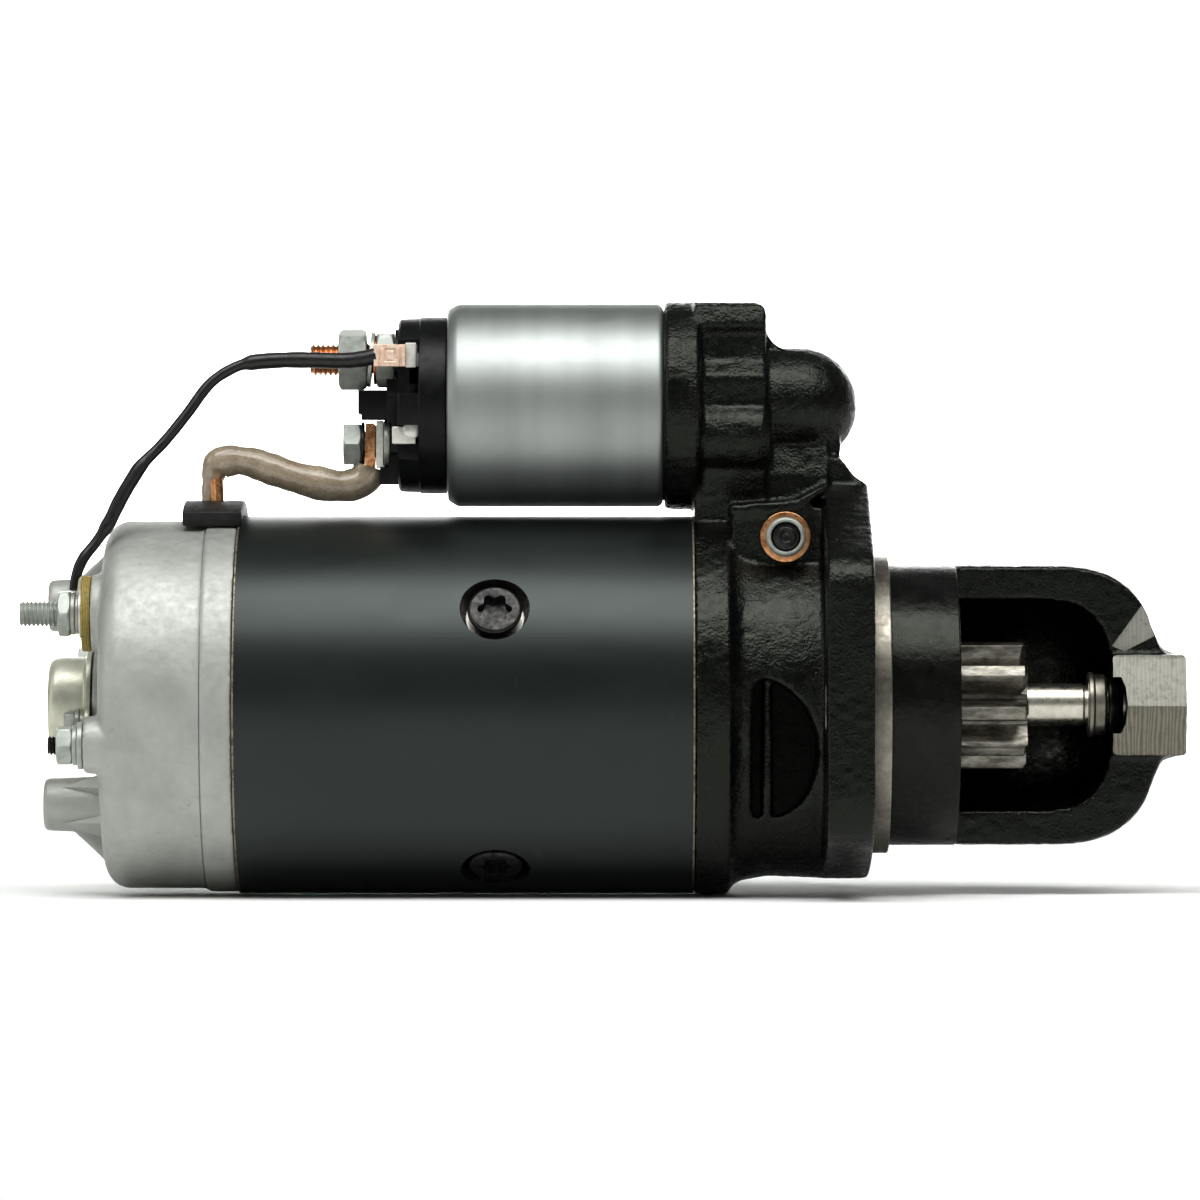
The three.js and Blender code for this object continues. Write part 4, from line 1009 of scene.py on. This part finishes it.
def cap_shell():
    """The moulded cap at the solenoid's rear, with its connector and terminal pads."""
    z = CAN.z
    shell = turned("cap_shell", [
        (-140.3, 0), (-140.3, 25.2), (-139.6, 25.9), (-134, 26.1), (-133.7, 26.4), (-126, 26.5),
        (-125.9, 23.4), (-136.8, 23), (-136.8, 0)], SOLENOID_AT, 200)
    cut(shell, block("side", (-142, -30, z + 3), (-134, -17.5, z + 27)),
        block("side", (-142, -30, z - 27), (-134, -20, z - 6.4)))
    parts = [
        block("connector", (-152.4, -8, z - 2.6), (-139, 8, z + 4.4)),
        block("connector", (-151.5, -7, z - 4.3), (-139, 7, z - 2)),
        block("connector", (-143.8, -10.5, z - 5.3), (-139, 10.5, z + 3.9)),
        block("guard", (-143.8, -12.4, z + 2.5), (-139, -9.8, z + 7.6)),
        block("bridge", (-142.4, -9.5, z - 9), (-139, 9.5, z - 4)),
        block("foot", (-145.9, -6.5, z - 23.7), (-139, 6.5, z - 18.6)),
        block("shelf", (-137.6, -17.6, z + 2), (-134, -10, z + 6)),
        rod("pad", -141.4, -139, 9.2, BATTERY.at),
        rod("pad", -142.7, -139, 8.6, MOTOR_BOLT.at),
        block("tower", (-143.2, -9.5, z - 23), (-139, 9.5, z - 15)),
    ]
    added(shell, *parts)
    socket = block("socket", (-153, -6.4, z - 0.6), (-141.5, 6.4, z + 2.4))
    cut(shell, socket, rod("hole", -160, -130, 5.2, BATTERY.at), rod("hole", -160, -130, 4.2, MOTOR_BOLT.at))
    piece(bevelled(shell, 0.45, 3), "black_plastic", nodes=["solenoid_cap"], crease=40)


def battery_terminal():
    """The large copper stud with its outer and inner nuts."""
    place = BATTERY.at
    stud = threaded("battery_thread", BATTERY.x0, -138, 4.95, 1.5, place, 64)
    piece(stud, "terminal_copper", nodes=["battery_stud"], crease=60)
    outer = nut("battery_hex_nut", -158.4, -150, 16.4, 5.1, place, 0.26)
    piece(outer, "zinc_plate", nodes=["battery_nut"])
    inner = nut("battery_inner_hex", -147, -141.7, 16, 5.1, place, 0.12)
    piece(inner, "zinc_plate", nodes=["battery_stud_inner_nut"])
    sprung_washer("battery_spring_washer", -148.7, 1.1, 5.3, 8.2, place)
    insulator = ring("battery_insulator", -147.9, -147.1, 5.2, 7.4, place, 64)
    piece(insulator, "enamelled_copper")


def sprung_washer(name, x, thick, inner, outer, place):
    """A spring washer, leaning a little because its two ends stand apart."""
    washer = ring(name, -thick / 2, thick / 2, inner, outer, sides=96)
    cut(washer, block("split", (-thick, 0, -0.5), (thick, outer + 1, 0.5)))
    bevelled(washer, 0.15, 2)
    lean = Matrix.Rotation(0.09, 4, "Y")
    washer.data.transform(Matrix.Translation((x * MM, place[0] * MM, place[1] * MM)) @ lean)
    piece(washer, "zinc_plate")


def motor_terminal():
    """The bolt that holds the motor lead's copper lug."""
    place = MOTOR_BOLT.at
    y, z = place
    head = nut("motor_bolt_head", -157, -151.7, 12, 0, place)
    shank = rod("shank", -152.5, -136, 3.9, place)
    added(head, shank)
    piece(head, "zinc_plate", nodes=["motor_terminal_bolt"])
    flat_washer("motor_bolt_washer", -151.6, -150.7, 4.1, 6.7, place, 72, look="black_steel")
    lug = prism("copper_lug", [
        (-150.4, z - 6.4), (-147.5, z - 6.2), (-147.3, z + 5.6), (-148, z + 6.3), (-150.2, z + 6.1)],
        y - 6.4, y + 6.4, "Y")
    cut(lug, rod("hole", -160, -130, 4.2, place))
    piece(bevelled(lug, 0.5), "terminal_copper", nodes=["motor_lead_lug"])
    plate = block("tinned_plate", (-147.1, y - 6, z - 7), (-145, y + 6, z + 7))
    cut(plate, rod("hole", -160, -130, 4.2, place))
    piece(bevelled(plate, 0.4), "tinned_steel")
    flat_washer("motor_base_washer", -144.8, -142.9, 4.2, 7.4, place, 96, 0.35)


TAB_Y = Span("spade_tab").y
TAB_Z = CAN.z + 14.5


def spade_terminals():
    """The tab with the jumper's crimp on it, and the spare tab with its rivet."""
    tab = block("blade", (-138, TAB_Y - 2.4, TAB_Z - 3.7), (-134.8, TAB_Y - 0.6, TAB_Z + 3.7))
    added(tab, block("blade", (-136.6, TAB_Y - 1.5, TAB_Z - 3.2), (-133.8, TAB_Y + 6, TAB_Z + 3.2)))
    piece(bevelled(tab, 0.3), "tinned_steel", nodes=["spade_tab"])
    y = TAB_Y - 1.8
    crimp = block("jumper_crimp", (-147.4, y - 2, TAB_Z - 3.4), (-138, y + 2, TAB_Z + 3.2))
    grooves = [block("groove", (x, y - 3, TAB_Z - 4), (x + 0.7, y - 1.3, TAB_Z + 4))
               for x in (-145.9, -139.8)]
    emboss = block("emboss", (-144.2, y - 3, TAB_Z - 2), (-140.8, y - 1.6, TAB_Z + 2))
    island = block("island", (-143.6, y - 4, TAB_Z - 1.3), (-141.4, y, TAB_Z + 1.3))
    cut(crimp, *grooves, cut(emboss, island))
    piece(bevelled(crimp, 0.25, 3), "crimp_copper", nodes=["jumper_terminal"])
    spare = block("spare_tab", (-141.9, -21.6, 77.7), (-134.8, -20.3, 82.9))
    piece(bevelled(spare, 0.35), "tinned_steel")
    rivet = turned("rivet", [(-23.4, 0), (-23.4, 1.6), (-22.8, 2.5), (-20.3, 2.8), (-20.3, 0)], sides=48)
    piece(cross(rivet, -136, 81.9), "tinned_steel")


# ---------- leads ----------
SLEEVE_ROUTE = [
    (-197.4, -0.6, 59.6), (-197.1, -0.4, 63), (-196.4, 0, 66.2), (-195.9, 0, 69.5), (-194.4, -0.3, 72.1),
    (-190.5, -0.5, 73.2), (-185, -1, 72.7), (-179.5, -1.5, 70.9), (-173, -2, 68.6), (-167, -2, 67),
    (-161, -1.5, 65.8), (-156, -0.8, 65.6), (-152.4, -0.3, 66.6), (-150, 0, 68.6), (-149, 0, 71.4)]
JUMPER_ROUTE = [
    (-146.6, -17.6, 104), (-150.5, -17.2, 103.2), (-156.3, -16.4, 102.6), (-165.6, -16, 102.8),
    (-175, -15.2, 102.8), (-184.4, -15, 102), (-190.4, -15.2, 99.9), (-196.6, -16, 95.4), (-203, -18, 86.7),
    (-209.7, -20, 78.3),
    (-215.9, -22, 71.8), (-219.1, -23, 67), (-222.5, -24, 61), (-225.8, -25, 54.2), (-229.4, -26, 48.6),
    (-233.2, -27.6, 43.6), (-235.2, -28.4, 38.6), (-236.0, -29.2, 34.2)]


def sleeve_radius(run, angle, place):
    """A lumpy sleeve, drawn in to a neck over its first 12 mm."""
    swell = noise.noise(place * 0.11) * 0.55 + noise.noise(place * 0.3 + Vector((7, 3, 1))) * 0.3
    neck = 2.5 * max(0, 1 - run / 12) ** 0.6
    return 4.75 + swell - neck


def strip_radius(run, angle, place):
    """A rounded bar, flatter across Y."""
    return 2.3 * (1 - 0.35 * abs(math.sin(angle + 1.57)) ** 3)


def step_at(run, place, length):
    """Rises from 0 to 1 over about the given length on either side of a place on the run."""
    return 1 / (1 + math.exp((place - run) / length))


def shrink_radius(run, angle, place):
    """A thin wire with shrink sleeves: one up to 39 mm, a slimmer one from 83 to 107 mm, and a slim end."""
    first = 0.75 * (1 - step_at(run, 39, 0.5))
    second = 0.45 * step_at(run, 83, 0.5) * (1 - step_at(run, 107, 0.5))
    end = 0.6 * step_at(run, 126, 2)
    return 1.65 + first + second - end + 0.12 * noise.noise(place * 0.35)


def leads():
    """The sleeved motor lead with its bare copper, and the thin jumper lead."""
    sleeve = tube("motor_lead_sleeve", SLEEVE_ROUTE, sleeve_radius, 0.7, 40)
    piece(bevelled(sleeve, 0.8, 3, 50), "lead_sleeve", nodes=["motor_lead"], crease=60)
    bar = tube("motor_lead_strip", [
        (-195.2, -2, 51), (-195.2, -2.6, 58), (-194.9, -2.8, 62), (-195.2, -2.4, 67.5)],
        strip_radius, 0.5, 24)
    piece(bar, "terminal_copper", crease=50)
    tail = block("motor_lead_tail", (-150.2, -4, 69.5), (-147.6, 4, 75))
    piece(bevelled(tail, 0.7), "terminal_copper")
    jumper = tube("jumper_sleeve", JUMPER_ROUTE, shrink_radius, 0.7, 32)
    piece(jumper, "black_heat_shrink", nodes=["jumper_lead"], crease=60)


def lead_grommet():
    """A curved rubber pad in the end cover with a slit for the motor lead."""
    span = Span("lead_grommet")
    inner = 56.6
    outline = arc((0, 0), span.z1, 110, 70, 24) + arc((0, 0), inner, 70, 110, 24)
    slab = prism("grommet", outline, span.x0, span.x1)
    added(slab, block("plug", (-200.6, -7.6, 52), (-188.8, 7.6, 58.5)))
    cut(slab, block("slit", (-200.4, -5, 40), (-192.6, 3.4, 70)))
    piece(bevelled(slab, 0.6, 3), "rubber", nodes=["lead_grommet"])


# ---------- drive and shaft ----------
TEETH = 9
TOOTH_ANGLE = 72.5


def tooth_middle(number):
    """The angle of a tooth from +Y towards +Z. The first stands at TOOTH_ANGLE from -Y."""
    return math.pi - math.radians(TOOTH_ANGLE) + number * TAU / TEETH


def gear_outline(root, pitch, tip):
    """Teeth with curved flanks."""
    flank = [(root, 0.305), (root + 0.8, 0.245), (pitch - 1.4, 0.205), (pitch, 0.175), (pitch + 1.3, 0.142),
             (tip - 0.5, 0.108), (tip, 0.088)]
    outline = []
    for number in range(TEETH):
        middle = tooth_middle(number)
        for radius, half in flank:
            outline.append((radius * math.cos(middle - half), radius * math.sin(middle - half)))
        for radius, half in reversed(flank):
            outline.append((radius * math.cos(middle + half), radius * math.sin(middle + half)))
    return outline


def pinion():
    """The gear and its hub. One side of each tooth's front end is ground away to help it mesh."""
    tip, front = PINION.z1 + 0.5, PINION.x1
    gear = prism("pinion_gear", gear_outline(11.4, 15.75, tip), 21, front)
    limit = turned("limit", [
        (20, 0), (20, 17), (22, tip + 0.6), (front - 1.6, tip + 0.6), (front, tip - 1.4), (front, 0)])
    combined(gear, [limit], "INTERSECT")
    for number in range(TEETH):
        wedge = prism("wedge", [(front - 2.6, 3.2), (front + 1, -0.9), (front + 1, 3.2)], 10.5, tip + 2, "Y")
        wedge.data.transform(Matrix.Rotation(tooth_middle(number), 4, "X"))
        cut(gear, wedge)
    hub = turned("hub", [
        (-7.6, 6), (-7.6, 14), (9, 14), (9, 15.2), (20, 15.2), (20, 17.4), (22, 17.4), (22, 6)])
    added(gear, hub)
    cut(gear, turned("hole", [
        (-20, 0), (-20, SHAFT_BORE), (front - 0.8, SHAFT_BORE), (front + 0.2, SHAFT_BORE + 1),
        (front + 0.2, 0)], sides=64))
    bevelled(gear, 0.28, 2, 28)
    piece(gear, "gear_steel", body="pinion", nodes=["pinion"], crease=40)


def shaft_end():
    """The shaft, the stop collar and washer that turn with it, and the seal in the nose."""
    r = SHAFT_END_RADIUS
    shaft = turned("shaft_bar", [
        (SHAFT.x0, 0), (SHAFT.x0, 6), (-216, 6), (-216, 9), (-46, 9), (-46, 8), (-8.4, 8), (-8.4, r),
        (64.6, r), (64.9, r - 0.5), (66, r - 0.5), (66.2, r), (SHAFT.x1, r), (SHAFT.x1, 0)], sides=96)
    piece(bevelled(shaft, 0.2, 2), "polished_steel", body="armature",
          nodes=["armature_shaft"])
    collar = turned("collar_ring", [
        (COLLAR.x0, r + 0.1), (COLLAR.x0, 9.75), (67.6, 9.75), (68.0, 9.1), (71, 9.1), (COLLAR.x1, 8.3),
        (COLLAR.x1, r + 0.1)], sides=128)
    piece(bevelled(collar, 0.3), "collar_steel", body="armature", nodes=["stop_collar"])
    inner = r + 0.15
    seal = turned("nose_seal", [
        (71.9, inner), (71.9, 7.9), (72.6, 8.4), (74.8, 8), (76.4, 7), (76.4, inner)], sides=96)
    piece(bevelled(seal, 0.3), "gloss_black")
    washer = ring("thrust_washer", COLLAR.x0 - 0.22, COLLAR.x0 - 0.02, r + 0.1, 8.9, sides=96)
    piece(bevelled(washer, 0.06), "machined_steel", body="armature")


def clutch():
    """The roller clutch's turned shell."""
    shell = turned("clutch_body", [
        (-41, 8.3), (-41, 12.4), (-17.5, 12.4), (-17.5, 25.5), (-16, 27), (5.6, 27), (7, 25.8), (7, 14.3),
        (-8, 14.3), (-8, 8.3)])
    piece(bevelled(shell, 0.4), "machined_steel", body="clutch", nodes=["clutch_shell"])


# ---------- stage ----------
def stage():
    """A pale floor that sweeps up, far behind, into a pale wall."""
    floor_z = FRAME.z0 - 0.4
    reach, front, back, rise, sweep = 9000, -6000, 4200, 2400, 700
    curve = [math.radians(a) for a in range(6, 91, 6)]
    profile = [(front, floor_z), (back - sweep, floor_z)]
    profile += [(back - sweep + sweep * math.sin(a), floor_z + sweep * (1 - math.cos(a))) for a in curve]
    profile.append((back, rise))
    vertices = [(x, y, z) for x in (-reach, reach) for y, z in profile]
    count = len(profile)
    faces = [[i, i + 1, count + i + 1, count + i] for i in range(count - 1)]
    floor = mesh_object("studio_floor", vertices, faces)
    floor.data.shade_smooth()
    look = Look("studio_floor")
    look.colour(look.ramp(look.noise(400, 2), (0.93, 0.93, 0.925), (0.95, 0.95, 0.945)))
    look.roughness(look.ramp(look.noise(60, 3), 0.75, 0.9))
    painted(floor, "studio_floor")


def camera():
    """Level, square to the shaft, at the solenoid's foot height, with a long lens."""
    distance, width = 2200, 360
    data = bpy.data.cameras.new("camera")
    data.sensor_width = 36
    data.lens = data.sensor_width * distance / width
    data.clip_end = 50
    view = bpy.data.objects.new("camera", data)
    view.location = Vector((-80.1, -distance, 31.35)) * MM
    view.rotation_euler = (math.pi / 2, 0, 0)
    bpy.context.scene.collection.objects.link(view)
    bpy.context.scene.camera = view


def softbox(name, place, size, power, target=(-60, 0, 30), colour=(1, 1, 1)):
    data = bpy.data.lights.new(name, "AREA")
    data.shape = "RECTANGLE"
    data.size, data.size_y = size[0] * MM, size[1] * MM
    data.energy = power
    data.color = colour
    light = bpy.data.objects.new(name, data)
    light.location = Vector(place) * MM
    aim = (Vector(target) - Vector(place)).normalized()
    light.rotation_euler = aim.to_track_quat("-Z", "Y").to_euler()
    bpy.context.scene.collection.objects.link(light)


def lighting():
    """One wide soft box above and in front, a lit backdrop, and a dim room around them."""
    softbox("key", (-60, -640, 1320), (2000, 980), 29)
    softbox("backdrop", (-60, 2750, 1750), (4000, 500), 190, (-60, 3900, 0))
    softbox("left", (-1500, -300, 500), (600, 900), 3)
    world = bpy.data.worlds.new("studio")
    world.use_nodes = True
    world.node_tree.nodes["Background"].inputs["Color"].default_value = (0.93, 1.0, 0.93, 1)
    world.node_tree.nodes["Background"].inputs["Strength"].default_value = 0.16
    bpy.context.scene.world = world
    bpy.context.scene.view_settings.view_transform = "Standard"
    bpy.context.scene.view_settings.look = "None"
    bpy.context.scene.view_settings.gamma = 0.86
    bpy.context.scene.view_settings.exposure = 0.12


# ---------- assembly ----------
camera()
all_looks()
dress_cad_nodes()
field_frame()
for number, angle in enumerate(POLE_ANGLES, 1):
    pole_screw(number, angle)
cover_shell()
bearing_cap()
for number, place in enumerate(CAP_SCREWS, 1):
    cap_screw(number, place)
for number, angle in enumerate(BOLT_ANGLES, 1):
    through_bolt(number, angle)
ground_terminal()
drive_housing()
lever_pivot()
solenoid()
cap_shell()
battery_terminal()
motor_terminal()
spade_terminals()
lead_grommet()
leads()
pinion()
shaft_end()
clutch()
stage()
lighting()
